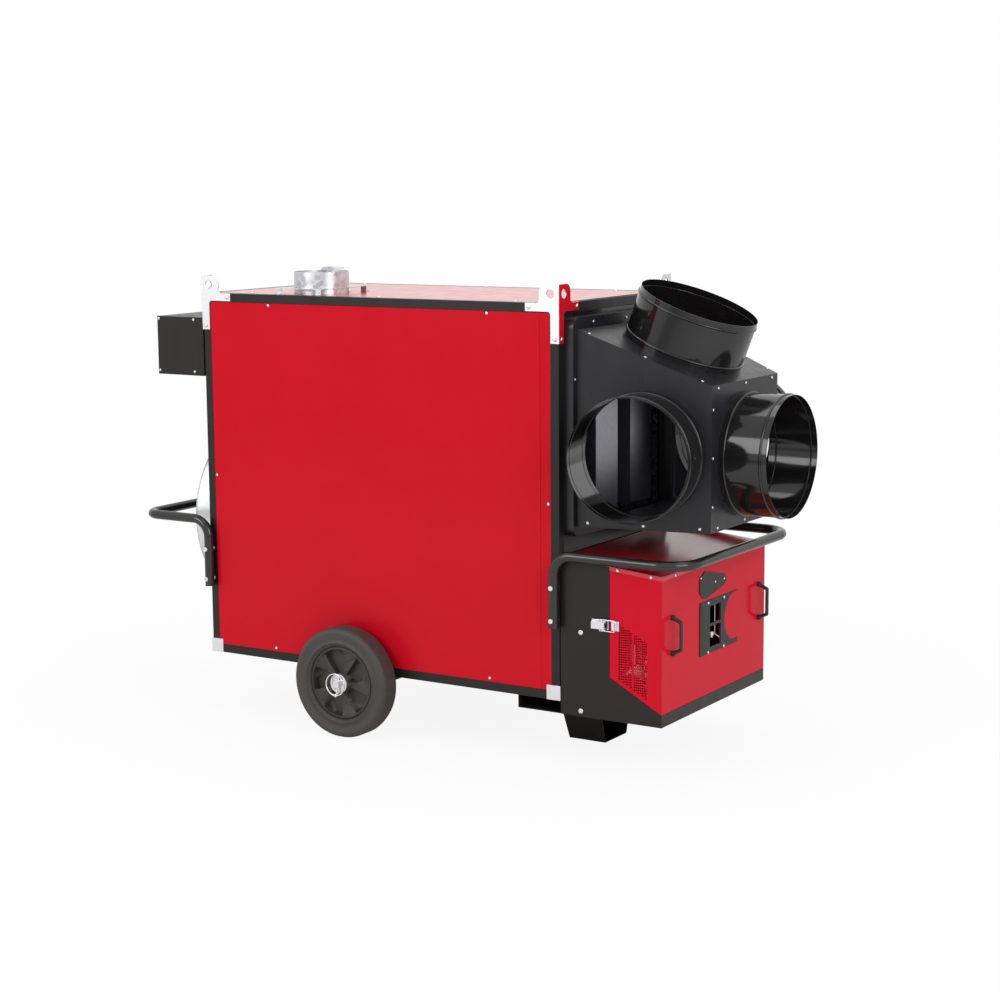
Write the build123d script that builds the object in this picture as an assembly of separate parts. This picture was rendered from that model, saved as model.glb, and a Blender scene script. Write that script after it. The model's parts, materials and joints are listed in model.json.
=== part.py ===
from build123d import *
import math
import os

# Gas-fired hot air generator on two wheels. Millimetres, +Z up.
# Working frame: X from the fan end of the body to its outlet end, Y across, Z from the floor.

# Casing and frame
BODY_L = 1470.0
BODY_W = 770.0
BODY_H = 1300.0
SHEET = 1.5
BRACKET_T = 4.0
TUBE = 30.0
TUBE_WALL = 2.0
PANEL_GAP = 1.0

# Wheels and undercarriage
WHEEL_R = 192.5
WHEEL_W = 88.0
WHEEL_GAP = 15.0
WHEEL_X = 643.0
AXLE_DROP = 23.0
AXLE_R = 12.5
AXLE_CLEAR = 0.05
RIM_R = 127.0
RIM_T = 9.0
HUB_R = 36.0
SPOKES = 5
SPOKE_ROOT_ANGLE = 30.0
SPOKE_TIP_ANGLE = 34.0
SPOKE_SWEEP = 8.0
WEB_T = 4.0
SPOKE_RISE = 24.0
WASHER_R = 34.0
WASHER_T = 3.0
PIN_R = 3.0
PIN_HEAD_R = 6.0
PIN_RING_R = 38.0
PIN_WIRE_R = 2.2
BEAM_H = 46.0
BEAM_L = 170.0
BEAM_T = 3.0
BEAM_INSET = 15.0
FOOT_BACK = 145.0
FOOT_L = 141.0
FOOT_W = 150.0
FOOT_FLARE = 50.0
FOOT_T = 4.0
FOOT_LEAD = 19.0
HANGER_INSET = 40.0
HANGER_HALF_L = 28.0
HANGER_HALF_T = 5.0

# Lifting brackets
LUG_W = 74.0
LUG_RISE = 61.0
LUG_HOLE_R = 15.0
LUG_HOLE_S = 32.0
LUG_HOLE_RISE = 30.0
LUG_CORNER_R = 24.0
LUG_ARM_L = 127.0
LUG_ARM_DROP = 27.0
LUG_LEG_W = 32.0
LUG_LEG_DROP = 129.0
LUG_FILLET = 12.0
CORNER_W = 52.0
CORNER_H = 49.0
BOLT_R = 7.0
BOLT_H = 5.0
SCREW_R = 5.0
SCREW_H = 3.0
SIDE_SCREW_FAN = 294.0
SIDE_SCREW_OUTLET = 275.0
SIDE_SCREW_EDGE = 44.0
SIDE_SCREW_LOW = 43.0
SIDE_SCREW_HIGH = 38.0
TOP_SCREW_INSET = 191.0

# Fan end
FAN_SIDE_GAP = 32.0
FAN_Z = 472.0
FAN_RING_L = 108.0
FAN_RING_T = 3.0
FAN_LIP = 8.0
GUARD_WIRE_R = 2.5
GUARD_RINGS = 7
GUARD_DISC_R = 46.0
GUARD_SPOKES = 8
BLADES = 6
BLADE_TIP_GAP = 9.0
FAN_HUB_R = 70.0
FAN_HUB_L = 60.0
FAN_X = 40.0
SHAFT_R = 14.0
SHAFT_CLEAR = 0.05
MOTOR_R = 95.0
MOTOR_L = 190.0
MOTOR_GAP = 32.0
STRUT = 20.0
BOX_L = 212.0
BOX_D = 312.0
BOX_H = 209.0
BOX_Z = 1003.0
BOX_LIP = 7.0

# Heating core
CHAMBER_R = 235.0
CHAMBER_T = 3.0
CHAMBER_X0 = 345.0
CHAMBER_END_GAP = 100.0
CHAMBER_Z = 300.0
POCKETS = 3
POCKET_T = 150.0
POCKET_PITCH = 240.0
POCKET_WALL = 2.0
POCKET_X0 = 560.0
POCKET_END_GAP = 40.0
POCKET_H = 480.0
POCKET_GAP = 45.0
SMOKE_L = 150.0
RISER_END_GAP = 20.0
RISER_L = 140.0
RISER_W = 220.0
FLUE_R = 97.0
FLUE_NECK_R = 95.5
FLUE_SEAT_GAP = 1.0
FLUE_T = 1.5
FLUE_X = 387.0
FLUE_INSET = 192.0
FLUE_H = 75.0
FLUE_PLATE_X = 200.0
FLUE_PLATE_Y = 270.0
FLUE_PLATE_Z = 20.0
FLUE_PLATE_T = 2.0

# Outlet plenum
COLLAR_L = 33.0
COLLAR_Z0 = 540.0
COLLAR_Z1 = 1253.0
COLLAR_R = 35.0
PLENUM_L = 441.0
COLLAR_FLANGE = 25.0
PLENUM_TAPER = 82.0
PLENUM_Z0 = 574.0
PLENUM_BACK_Z1 = 1215.0
PLENUM_FRONT_Z1 = 1046.0
PLENUM_T = 2.0
DUCT_R = 200.0
DUCT_T = 1.5
DUCT_L = 168.0
BEAD_R = 4.2
RIM_LAND = 18.0
ROOT_LAND = 16.0
SIDE_DUCT_BACK = 226.0
SIDE_DUCT_Z = 819.0
FRONT_DUCT_Z = 804.0
TOP_DUCT_BACK = 243.5

# Handles
HANDLE_R = 16.85
HANDLE_WALL = 2.5
HANDLE_STANDOFF = 4.0
HANDLE_LEG_INSET = 13.0
HANDLE_Z0 = 246.0
HANDLE_Z = 487.0
HANDLE_RISE_R = 65.0
HANDLE_BOLT_Z = (272.0, 381.0)
FRONT_REACH = 460.0
FRONT_CORNER_R = 100.0
REAR_REACH = 280.0
REAR_CORNER_R = 60.0

# Burner compartment
BURNER_L = 372.0
BURNER_DROP = 43.4
BURNER_LIP_Z = -3.1
BURNER_BACK_Z = 482.0
BURNER_FRONT_Z = 448.0
SIDE_PLATE_L = 182.0
SIDE_PLATE_Z = 99.0
COVER_GAP = 1.5
COVER_TRAVEL = 300.0
GRILLE_BACK = 214.0
GRILLE_L = 104.0
COVER_SCREW_BACK = 213.0
COVER_SCREW_FRONT = 38.0
GRILLE_PITCH = 8.0
GRILLE_HOLE_R = 2.6
GRILLE_TOP0 = 284.0
GRILLE_TOP1 = 234.0
GRILLE_LOW0 = 98.0
GRILLE_LOW1 = 42.0
BOW_R = 6.0
BOW_OUT = 34.0
BOW_Y = (-312.0, 330.0)
BOW_Z = (189.0, 305.0)
LATCH_Z = 272.0
LATCH_BACK = 14.0
LATCH_THROW = 16.0
LATCH_LOOP_HALF = 18.5
ENTRY_T = 3.0
ENTRY_Y0 = -45.0
ENTRY_Y1 = 35.0
ENTRY_WINDOWS = ((156.0, 226.0), (236.0, 294.0))
GAS_BACK = 220.0
GAS_Y = -270.0
GAS_Z = 100.0
BURNER_Y = 0.0
BURNER_Z = 250.0

# Derived positions
BODY_Z = WHEEL_R + AXLE_DROP
TOP_Z = BODY_Z + BODY_H
FRAME_X0 = BRACKET_T
FRAME_X1 = BODY_L - BRACKET_T
FRAME_Y = BODY_W / 2 - BRACKET_T
REAR_X = -REAR_REACH - HANDLE_R
FRONT_X = BODY_L + COLLAR_L + PLENUM_L + DUCT_L
ORIGIN_X = (REAR_X + FRONT_X) / 2
HANDLE_Y = FRAME_Y + HANDLE_STANDOFF + HANDLE_R
COVER_X1 = BODY_L + BURNER_L
COVER_Y = FRAME_Y
COLLAR_HALF_W = BODY_W / 2 - LUG_LEG_W - PANEL_GAP
PLENUM_BACK_HALF_W = COLLAR_HALF_W - COLLAR_FLANGE
PLENUM_FRONT_HALF_W = PLENUM_BACK_HALF_W - PLENUM_TAPER
PANEL_HALF_W = FRAME_Y - TUBE - PANEL_GAP
FAN_R = PANEL_HALF_W - FAN_SIDE_GAP
FOOT_X0 = BODY_L - FOOT_BACK
CHAMBER_X1 = BODY_L - CHAMBER_END_GAP
CHAMBER_L = CHAMBER_X1 - CHAMBER_X0
POCKET_L = BODY_L - POCKET_END_GAP - POCKET_X0
FLUE_Y = FLUE_INSET - BODY_W / 2
GRILLE_X0 = BODY_L + GRILLE_BACK
GRILLE_X1 = GRILLE_X0 + GRILLE_L
LATCH_X = BODY_L + SIDE_PLATE_L - LATCH_BACK
GAS_X = BODY_L + GAS_BACK
PLENUM_X0 = BODY_L + COLLAR_L
PLENUM_X1 = PLENUM_X0 + PLENUM_L


def z(height):
    """Height above the frame's underside, as a height above the floor."""
    return BODY_Z + height


def slab(x0, x1, y0, y1, z0, z1):
    """A plain box between two corners."""
    centre = Pos((x0 + x1) / 2, (y0 + y1) / 2, (z0 + z1) / 2)
    return centre * Box(x1 - x0, y1 - y0, z1 - z0)


def rod(start, end, radius):
    """A straight round bar between two points."""
    direction = Vector(*end) - Vector(*start)
    plane = Plane(origin=start, z_dir=direction)
    return extrude(plane * Circle(radius), direction.length)


def square_tube(start, end, size, wall):
    """A hollow square section along one axis, centred on the line from start to end."""
    direction = Vector(*end) - Vector(*start)
    plane = Plane(origin=start, x_dir=(0, 1, 0) if abs(direction.Y) < 1 else (1, 0, 0), z_dir=direction)
    section = Rectangle(size, size) - Rectangle(size - 2 * wall, size - 2 * wall)
    return extrude(plane * section, direction.length)


def xz_plate(points, y0, thickness):
    """A plate cut from an X-Z outline, from y0 towards +Y."""
    face = make_face(Polyline(*[(x, 0, h) for x, h in points], close=True))
    plate = extrude(face, thickness, dir=(0, 1, 0))
    return Pos(0, y0, 0) * plate


def mirrored_y(shape):
    return mirror(shape, about=Plane.XZ)


def dome_screw(point, normal, radius, height):
    """A screw head standing on a surface: a low cone-edged button."""
    plane = Plane(origin=point, z_dir=normal)
    head = extrude(plane * Circle(radius), height)
    edge = head.edges().filter_by(GeomType.CIRCLE).sort_by_distance(plane.origin)[-1]
    return chamfer(edge, height * 0.4)


# Frame


def frame_posts():
    half = TUBE / 2
    posts = []
    for x in (FRAME_X0 + half, FRAME_X1 - half):
        for y in (-FRAME_Y + half, FRAME_Y - half):
            posts.append(square_tube((x, y, BODY_Z), (x, y, TOP_Z), TUBE, TUBE_WALL))
    return posts


def frame_long_rails():
    half = TUBE / 2
    rails = []
    for y in (-FRAME_Y + half, FRAME_Y - half):
        for height in (BODY_Z + half, TOP_Z - half):
            start = (FRAME_X0 + TUBE, y, height)
            rails.append(square_tube(start, (FRAME_X1 - TUBE, y, height), TUBE, TUBE_WALL))
    return rails


def frame_cross_rails():
    half = TUBE / 2
    rails = []
    for x in (FRAME_X0 + half, FRAME_X1 - half):
        for height in (BODY_Z + half, TOP_Z - half):
            start = (x, -FRAME_Y + TUBE, height)
            rails.append(square_tube(start, (x, FRAME_Y - TUBE, height), TUBE, TUBE_WALL))
    return rails


def bracket_wing():
    """One wing of a lifting bracket: distance from the corner along X, thickness along Y."""
    outline = [
        (0, TOP_Z - LUG_LEG_DROP),
        (LUG_LEG_W, TOP_Z - LUG_LEG_DROP),
        (LUG_LEG_W, TOP_Z - LUG_ARM_DROP),
        (LUG_ARM_L, TOP_Z - LUG_ARM_DROP),
        (LUG_ARM_L, TOP_Z),
        (LUG_W, TOP_Z),
        (LUG_W, TOP_Z + LUG_RISE),
        (0, TOP_Z + LUG_RISE),
    ]
    plate = xz_plate(outline, 0, BRACKET_T)
    upright = plate.edges().filter_by(Axis.Y)

    def near(s, height):
        return [e for e in upright if abs(e.center().X - s) < 0.1 and abs(e.center().Z - height) < 0.1]

    plate = fillet(near(LUG_W, TOP_Z + LUG_RISE), LUG_CORNER_R)
    upright = plate.edges().filter_by(Axis.Y)
    inner = near(LUG_W, TOP_Z) + near(LUG_LEG_W, TOP_Z - LUG_ARM_DROP)
    plate = fillet(inner, LUG_FILLET)
    eye = (LUG_HOLE_S, -1, TOP_Z + LUG_HOLE_RISE)
    plate -= rod(eye, (LUG_HOLE_S, BRACKET_T + 1, TOP_Z + LUG_HOLE_RISE), LUG_HOLE_R)
    return plate


def lifting_bracket(x_side, y_side):
    """An L-shaped bracket round one top corner, with a lifting eye in each wing."""
    along = Pos(0, -BODY_W / 2, 0) * bracket_wing()
    across = Pos(0, -BODY_W / 2, 0) * Rot(0, 0, 90) * mirror(bracket_wing(), about=Plane.XZ)
    bracket = along + across
    if x_side > 0:
        bracket = mirror(bracket, about=Plane(origin=(BODY_L / 2, 0, 0), z_dir=(1, 0, 0)))
    if y_side > 0:
        bracket = mirrored_y(bracket)
    return bracket


def bracket_bolts():
    """Button-head bolts of the lifting brackets."""
    heads = []
    spots = (
        (LUG_ARM_L - BOLT_R * 2, TOP_Z - LUG_ARM_DROP / 2),
        (LUG_LEG_W / 2, TOP_Z - LUG_LEG_DROP + BOLT_R * 2),
    )
    for distance, height in spots:
        for y_side in (-1, 1):
            for x in (distance, BODY_L - distance):
                heads.append(dome_screw((x, y_side * BODY_W / 2, height), (0, y_side, 0), BOLT_R, BOLT_H))
            y = y_side * (BODY_W / 2 - distance)
            for x, normal in ((0, -1), (BODY_L, 1)):
                covered = x == 0 and y_side < 0 and height < BODY_Z + BOX_Z + BOX_H + BOLT_R
                if not covered:
                    heads.append(dome_screw((x, y, height), (normal, 0, 0), BOLT_R, BOLT_H))
    return heads


def corner_plates():
    """Pressed caps round the four bottom corners."""
    outer = slab(0, CORNER_W, -BODY_W / 2, -BODY_W / 2 + CORNER_W, BODY_Z, z(CORNER_H))
    inner = slab(BRACKET_T, CORNER_W + 1, -FRAME_Y, -FRAME_Y + CORNER_W, BODY_Z - 1, z(CORNER_H) + 1)
    corner = outer - inner
    other = mirror(corner, about=Plane(origin=(BODY_L / 2, 0, 0), z_dir=(1, 0, 0)))
    return [corner, other, mirrored_y(corner), mirrored_y(other)]


# Panels


def side_panel():
    """Folded tray panel that closes one long side, outer face level with the frame."""
    x0, x1 = FRAME_X0 + TUBE + PANEL_GAP, FRAME_X1 - TUBE - PANEL_GAP
    z0, z1 = BODY_Z + TUBE + PANEL_GAP, TOP_Z - TUBE - PANEL_GAP
    tray = slab(x0, x1, -FRAME_Y, -FRAME_Y + TUBE - 5, z0, z1)
    return tray - slab(x0 + SHEET, x1 - SHEET, -FRAME_Y + SHEET, 0, z0 + SHEET, z1 - SHEET)


def top_panel():
    x0, x1 = FRAME_X0 + TUBE + PANEL_GAP, FRAME_X1 - TUBE - PANEL_GAP
    half = PANEL_HALF_W
    tray = slab(x0, x1, -half, half, TOP_Z - TUBE + 5, TOP_Z)
    tray -= slab(x0 + SHEET, x1 - SHEET, -half + SHEET, half - SHEET, TOP_Z - TUBE, TOP_Z - SHEET)
    return tray - rod((FLUE_X, FLUE_Y, TOP_Z - TUBE), (FLUE_X, FLUE_Y, TOP_Z + 1), FLUE_R + 2)


def floor_panel():
    x0, x1 = FRAME_X0 + TUBE + PANEL_GAP, FRAME_X1 - TUBE - PANEL_GAP
    half = PANEL_HALF_W
    return slab(x0, x1, -half, half, BODY_Z, BODY_Z + SHEET * 2)


def fan_end_panel():
    """End sheet with the round fan opening."""
    half = PANEL_HALF_W
    sheet = slab(FRAME_X0, FRAME_X0 + SHEET, -half, half, z(TUBE + PANEL_GAP), TOP_Z - TUBE - PANEL_GAP)
    return sheet - rod((0, 0, z(FAN_Z)), (FRAME_X0 + 10, 0, z(FAN_Z)), FAN_R)


def outlet_end_panel():
    """End sheet with the air outlet opening above and the burner opening below."""
    half = PANEL_HALF_W
    x1 = FRAME_X1
    sheet = slab(x1 - SHEET, x1, -half, half, z(TUBE + PANEL_GAP), TOP_Z - TUBE - PANEL_GAP)
    opening_y = PLENUM_BACK_HALF_W - PLENUM_T
    sheet -= slab(x1 - 10, x1 + 10, -opening_y, opening_y, z(PLENUM_Z0 + PLENUM_T), z(PLENUM_BACK_Z1 - PLENUM_T))
    return sheet - rod((x1 - 10, BURNER_Y, z(BURNER_Z)), (x1 + 10, BURNER_Y, z(BURNER_Z)), 92)


def panel_screws():
    """Small round heads round the casing panels."""
    heads = []
    side_spots = [
        (SIDE_SCREW_FAN, z(BODY_H - SIDE_SCREW_HIGH)),
        (BODY_L - SIDE_SCREW_OUTLET, z(BODY_H - SIDE_SCREW_HIGH)),
        (SIDE_SCREW_FAN, z(SIDE_SCREW_LOW)),
        (BODY_L - SIDE_SCREW_OUTLET, z(SIDE_SCREW_LOW)),
        (SIDE_SCREW_EDGE, z(BODY_H / 2)),
        (BODY_L - SIDE_SCREW_EDGE, z(BODY_H / 2)),
    ]
    for x, height in side_spots:
        for y_side in (-1, 1):
            heads.append(dome_screw((x, y_side * FRAME_Y, height), (0, y_side, 0), SCREW_R, SCREW_H))
    for x in (TOP_SCREW_INSET, BODY_L / 2, BODY_L - TOP_SCREW_INSET):
        for y_side in (-1, 1):
            y = y_side * (PANEL_HALF_W - 12)
            heads.append(dome_screw((x, y, TOP_Z), (0, 0, 1), SCREW_R, SCREW_H))
    return heads


# Undercarriage


def cross_beam(x0):
    """Channel across the underside of the frame, flanged outwards at its top."""
    half = BODY_W / 2 - BEAM_INSET
    low = BODY_Z - BEAM_H
    beam = slab(x0, x0 + BEAM_L, -half, half, low, BODY_Z)
    beam -= slab(x0 + BEAM_T, x0 + BEAM_L - BEAM_T, -half - 1, half + 1, low + BEAM_T, BODY_Z - BEAM_T)
    return beam - slab(x0 + 30, x0 + BEAM_L - 30, -half - 1, half + 1, BODY_Z - BEAM_T - 1, BODY_Z + 1)


def axle_beam():
    return cross_beam(WHEEL_X - BEAM_L / 2)


def axle_hangers():
    """Two bearing plates that hold the axle inside its channel."""
    plates = []
    for y_side in (-1, 1):
        y = y_side * (BODY_W / 2 - BEAM_INSET - HANGER_INSET)
        y0, y1 = y - HANGER_HALF_T, y + HANGER_HALF_T
        x0, x1 = WHEEL_X - HANGER_HALF_L, WHEEL_X + HANGER_HALF_L
        plate = slab(x0, x1, y0, y1, BODY_Z - BEAM_H + BEAM_T, BODY_Z)
        plates.append(plate - rod((WHEEL_X, y0 - 1, WHEEL_R), (WHEEL_X, y1 + 1, WHEEL_R), AXLE_R))
    return plates


def axle():
    """Fixed axle shaft with a cross hole near each end."""
    end = BODY_W / 2 + WHEEL_GAP + WHEEL_W + 14
    shaft = rod((WHEEL_X, -end, WHEEL_R), (WHEEL_X, end, WHEEL_R), AXLE_R)
    for y_side in (-1, 1):
        y = y_side * (end - 7)
        shaft -= rod((WHEEL_X, y, WHEEL_R - 30), (WHEEL_X, y, WHEEL_R + 30), PIN_R + 0.2)
    return shaft


def axle_pins():
    """Linch pin at each axle end: shank, head and the wire ring that snaps round the axle."""
    pins = []
    end = BODY_W / 2 + WHEEL_GAP + WHEEL_W
    for y_side in (-1, 1):
        y = y_side * (end + 7)
        ring_y = y_side * (end + 14 + PIN_WIRE_R + 1)
        pin = rod((WHEEL_X, y, WHEEL_R - PIN_RING_R), (WHEEL_X, y, WHEEL_R + 22), PIN_R)
        head_start = (WHEEL_X, y - y_side * PIN_HEAD_R, WHEEL_R - PIN_RING_R)
        pin += rod(head_start, (WHEEL_X, ring_y + y_side * PIN_WIRE_R, WHEEL_R - PIN_RING_R), PIN_HEAD_R)
        pin += Pos(WHEEL_X, ring_y, WHEEL_R) * Rot(90, 0, 0) * Torus(PIN_RING_R, PIN_WIRE_R)
        pins.append(pin)
    return pins


def axle_washers():
    washers = []
    for y_side in (-1, 1):
        inner = y_side * (BODY_W / 2 + WHEEL_GAP + WHEEL_W - WASHER_T - 2)
        outer = inner + y_side * WASHER_T
        disc = rod((WHEEL_X, inner, WHEEL_R), (WHEEL_X, outer, WHEEL_R), WASHER_R)
        washers.append(disc - rod((WHEEL_X, inner - 9, WHEEL_R), (WHEEL_X, outer + 9, WHEEL_R), AXLE_R + 0.02))
    return washers


def wheel_profile(points):
    """Turns an outline in radius and distance across the wheel about the axle line."""
    face = make_face(Polyline(*[(r, w, 0) for r, w in points], close=True))
    turned = revolve(face, Axis.Y)
    return Pos(WHEEL_X, -(BODY_W / 2 + WHEEL_GAP + WHEEL_W / 2), WHEEL_R) * turned


def tyre():
    half = WHEEL_W / 2
    step = 0.77 * WHEEL_R
    shoulder = 0.93 * WHEEL_R
    rim = RIM_R
    return wheel_profile([
        (rim, -0.62 * half),
        (rim + 14, -0.86 * half),
        (step - 8, -0.92 * half),
        (step, -0.80 * half),
        (step + 6, -0.80 * half),
        (shoulder, -0.94 * half),
        (WHEEL_R - 4, -0.80 * half),
        (WHEEL_R, -0.55 * half),
        (WHEEL_R, 0.55 * half),
        (WHEEL_R - 4, 0.80 * half),
        (shoulder, 0.94 * half),
        (step + 6, 0.80 * half),
        (step, 0.80 * half),
        (step - 8, 0.92 * half),
        (rim + 14, 0.86 * half),
        (rim, 0.62 * half),
    ])


def spoke():
    """One fan-shaped spoke lying in X-Y, thickness along Z: narrow at the hub, broad and swept at the rim."""
    root, tip = HUB_R - 4, RIM_R - RIM_T / 2
    middle = (root + tip) / 2

    def at(radius, degrees):
        return (radius * math.cos(math.radians(degrees)), radius * math.sin(math.radians(degrees)))

    half = SPOKE_TIP_ANGLE / 2
    outline = make_face(Wire([
        Line(at(root, -SPOKE_ROOT_ANGLE / 2), at(tip, -half)),
        ThreePointArc(at(tip, -half), at(tip, 0), at(tip, half)),
        ThreePointArc(at(tip, half), at(middle, SPOKE_SWEEP), at(root, SPOKE_ROOT_ANGLE / 2)),
        Line(at(root, SPOKE_ROOT_ANGLE / 2), at(root, -SPOKE_ROOT_ANGLE / 2)),
    ]))
    return extrude(outline, SPOKE_RISE)


def wheel_centre():
    """Moulded wheel centre: rim, hub, a closed web and five fan-shaped spokes standing on it."""
    half = WHEEL_W / 2
    rim = wheel_profile([
        (RIM_R - RIM_T, -0.66 * half),
        (RIM_R, -0.62 * half),
        (RIM_R, 0.62 * half),
        (RIM_R - RIM_T, 0.66 * half),
    ])
    hub_end = half - WASHER_T - 2
    bore = AXLE_R + AXLE_CLEAR
    hub = wheel_profile([(bore, -hub_end), (HUB_R, -hub_end), (HUB_R, hub_end), (bore, hub_end)])
    web = wheel_profile([(bore, -WEB_T / 2), (RIM_R - 1, -WEB_T / 2), (RIM_R - 1, WEB_T / 2), (bore, WEB_T / 2)])
    wheel = rim + hub + web
    y = -(BODY_W / 2 + WHEEL_GAP + WHEEL_W / 2)
    for n in range(SPOKES):
        blade = Rot(90, 0, 0) * Rot(0, 0, 360 / SPOKES * n) * spoke()
        wheel += Pos(WHEEL_X, y, WHEEL_R) * blade
    return wheel


def foot_beam():
    return cross_beam(BODY_L - BEAM_L - PANEL_GAP)


def support_foot():
    """Flared sheet foot, open towards the outlet end."""
    top = BODY_Z - BEAM_H
    x1 = FOOT_X0 + FOOT_L

    def block(shrink):
        low = Plane(origin=(0, 0, shrink)) * make_face(Polyline(
            (FOOT_X0 + shrink, -FOOT_W / 2 + shrink),
            (x1 + shrink * 3, -FOOT_W / 2 + shrink),
            (x1 + shrink * 3, FOOT_W / 2 - shrink),
            (FOOT_X0 + shrink, FOOT_W / 2 - shrink),
            close=True,
        ))
        half = FOOT_W / 2 + FOOT_FLARE - shrink
        high = Plane(origin=(0, 0, top)) * make_face(Polyline(
            (FOOT_X0 - FOOT_LEAD + shrink, -half),
            (x1 + shrink * 3, -half),
            (x1 + shrink * 3, half),
            (FOOT_X0 - FOOT_LEAD + shrink, half),
            close=True,
        ))
        return loft([low.faces()[0], high.faces()[0]])

    return block(0) - block(FOOT_T)


# Fan end


def fan_ring():
    """Round air inlet casing with a flared rim."""
    x0, x1 = -FAN_RING_L, FRAME_X0 + 60
    outline = make_face(Polyline(
        (x0, FAN_R + FAN_LIP, 0),
        (x0, FAN_R + FAN_LIP - FAN_RING_T, 0),
        (x0 + FAN_LIP, FAN_R - FAN_RING_T, 0),
        (x1, FAN_R - FAN_RING_T, 0),
        (x1, FAN_R, 0),
        (FRAME_X0, FAN_R, 0),
        (FRAME_X0, FAN_R + 16, 0),
        (FRAME_X0 - FAN_RING_T, FAN_R + 16, 0),
        (FRAME_X0 - FAN_RING_T, FAN_R, 0),
        (x0 + FAN_LIP + 1, FAN_R, 0),
        close=True,
    ))
    return Pos(0, 0, z(FAN_Z)) * revolve(outline, Axis.X)


def guard_clips():
    """Clips that hold the guard on the inlet rim."""
    clips = []
    for angle in (40, 90, 140, 220, 270, 320):
        clip = slab(-FAN_RING_L - 6, -FAN_RING_L, -14, 14, FAN_R - 22, FAN_R + FAN_LIP)
        clips.append(Pos(0, 0, z(FAN_Z)) * Rot(angle, 0, 0) * clip)
    return clips


def fan_guard():
    """Wire guard across the inlet: a centre disc, wire rings and radial wires laid behind them."""
    x = -FAN_RING_L + GUARD_WIRE_R
    spoke_r = GUARD_WIRE_R * 0.8
    outer = FAN_R - FAN_RING_T - GUARD_WIRE_R - 0.5
    pitch = (outer - GUARD_DISC_R) / GUARD_RINGS
    wires = [rod((x - GUARD_WIRE_R, 0, z(FAN_Z)), (x + GUARD_WIRE_R, 0, z(FAN_Z)), GUARD_DISC_R)]
    for n in range(GUARD_RINGS):
        radius = GUARD_DISC_R + pitch * (n + 1)
        wires.append(Pos(x, 0, z(FAN_Z)) * Rot(0, 90, 0) * Torus(radius, GUARD_WIRE_R))
    back = x + GUARD_WIRE_R + spoke_r
    for n in range(GUARD_SPOKES):
        angle = math.radians(360 / GUARD_SPOKES * n + 22.5)
        across, up = math.cos(angle), math.sin(angle)
        start = (back, GUARD_DISC_R / 2 * across, z(FAN_Z) + GUARD_DISC_R / 2 * up)
        wires.append(rod(start, (back, outer * across, z(FAN_Z) + outer * up), spoke_r))
    return wires


def fan_impeller():
    """Axial fan: hub and twisted flat blades on the motor shaft."""
    hub = rod((FAN_X, 0, 0), (FAN_X + FAN_HUB_L, 0, 0), FAN_HUB_R)
    hub -= rod((FAN_X - 1, 0, 0), (FAN_X + FAN_HUB_L + 1, 0, 0), SHAFT_R + SHAFT_CLEAR)
    fan = hub
    span = FAN_R - FAN_RING_T - BLADE_TIP_GAP - FAN_HUB_R
    for n in range(BLADES):
        blade = Box(4, 120, span + 10)
        blade = Pos(FAN_X + FAN_HUB_L / 2, 0, FAN_HUB_R + span / 2 - 5) * Rot(0, 0, 62) * blade
        fan += Rot(360 / BLADES * n, 0, 0) * blade
    return Pos(0, 0, z(FAN_Z)) * fan


def fan_motor():
    """Motor body with end caps, feet pads and shaft."""
    x0 = FAN_X + FAN_HUB_L + MOTOR_GAP
    motor = rod((x0, 0, 0), (x0 + MOTOR_L, 0, 0), MOTOR_R)
    motor += rod((x0 - 8, 0, 0), (x0, 0, 0), MOTOR_R * 0.6)
    motor += rod((x0 + MOTOR_L, 0, 0), (x0 + MOTOR_L + 10, 0, 0), MOTOR_R * 0.8)
    motor += rod((FAN_X - 10, 0, 0), (x0, 0, 0), SHAFT_R)
    for n in range(12):
        rib = slab(x0 + 15, x0 + MOTOR_L - 15, -2.5, 2.5, MOTOR_R - 3, MOTOR_R + 7)
        motor += Rot(30 * n, 0, 0) * rib
    return Pos(0, 0, z(FAN_Z)) * motor


def motor_struts():
    """Two square bars across the casing that carry the motor."""
    bars = []
    for height in (z(FAN_Z) - MOTOR_R - 7 - STRUT, z(FAN_Z) + MOTOR_R + 7):
        x, y = FAN_X + FAN_HUB_L + MOTOR_GAP + MOTOR_L / 4, FRAME_Y - SHEET
        bars.append(slab(x - STRUT / 2, x + STRUT / 2, -y, y, height, height + STRUT))
    return bars


def control_box():
    """Open-backed sheet case of the electrical controls."""
    y0 = -BODY_W / 2
    case = slab(-BOX_L, 0, y0, y0 + BOX_D, z(BOX_Z), z(BOX_Z + BOX_H))
    case -= slab(-BOX_L - 1, -SHEET, y0 + SHEET, y0 + BOX_D - SHEET, z(BOX_Z) + SHEET, z(BOX_Z + BOX_H) - SHEET)
    return case


def control_box_cover():
    """Front lid of the control box, with a folded rim."""
    y0 = -BODY_W / 2 + SHEET + 0.5
    y1 = -BODY_W / 2 + BOX_D - SHEET - 0.5
    z0, z1 = z(BOX_Z) + SHEET + 0.5, z(BOX_Z + BOX_H) - SHEET - 0.5
    lid = slab(-BOX_L, -BOX_L + 20, y0, y1, z0, z1)
    lid -= slab(-BOX_L + SHEET, 0, y0 + SHEET, y1 - SHEET, z0 + SHEET, z1 - SHEET)
    x = -BOX_L
    y, height = knob_centre()
    return lid - rod((x - 5, y, height), (x + 5, y, height), 4 + SHAFT_CLEAR)


def knob_centre():
    return -BODY_W / 2 + BOX_D * 0.5, z(BOX_Z + BOX_H * 0.55)


def selector_knob():
    """Rotary selector with a grip bar."""
    y, height = knob_centre()
    x = -BOX_L
    knob = rod((x - 8, y, height), (x - 0.5, y, height), 20)
    knob += slab(x - 22, x - 8, y - 5, y + 5, height - 18, height + 18)
    knob += rod((x - 8, y, height), (x + 14, y, height), 4)
    return knob


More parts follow.
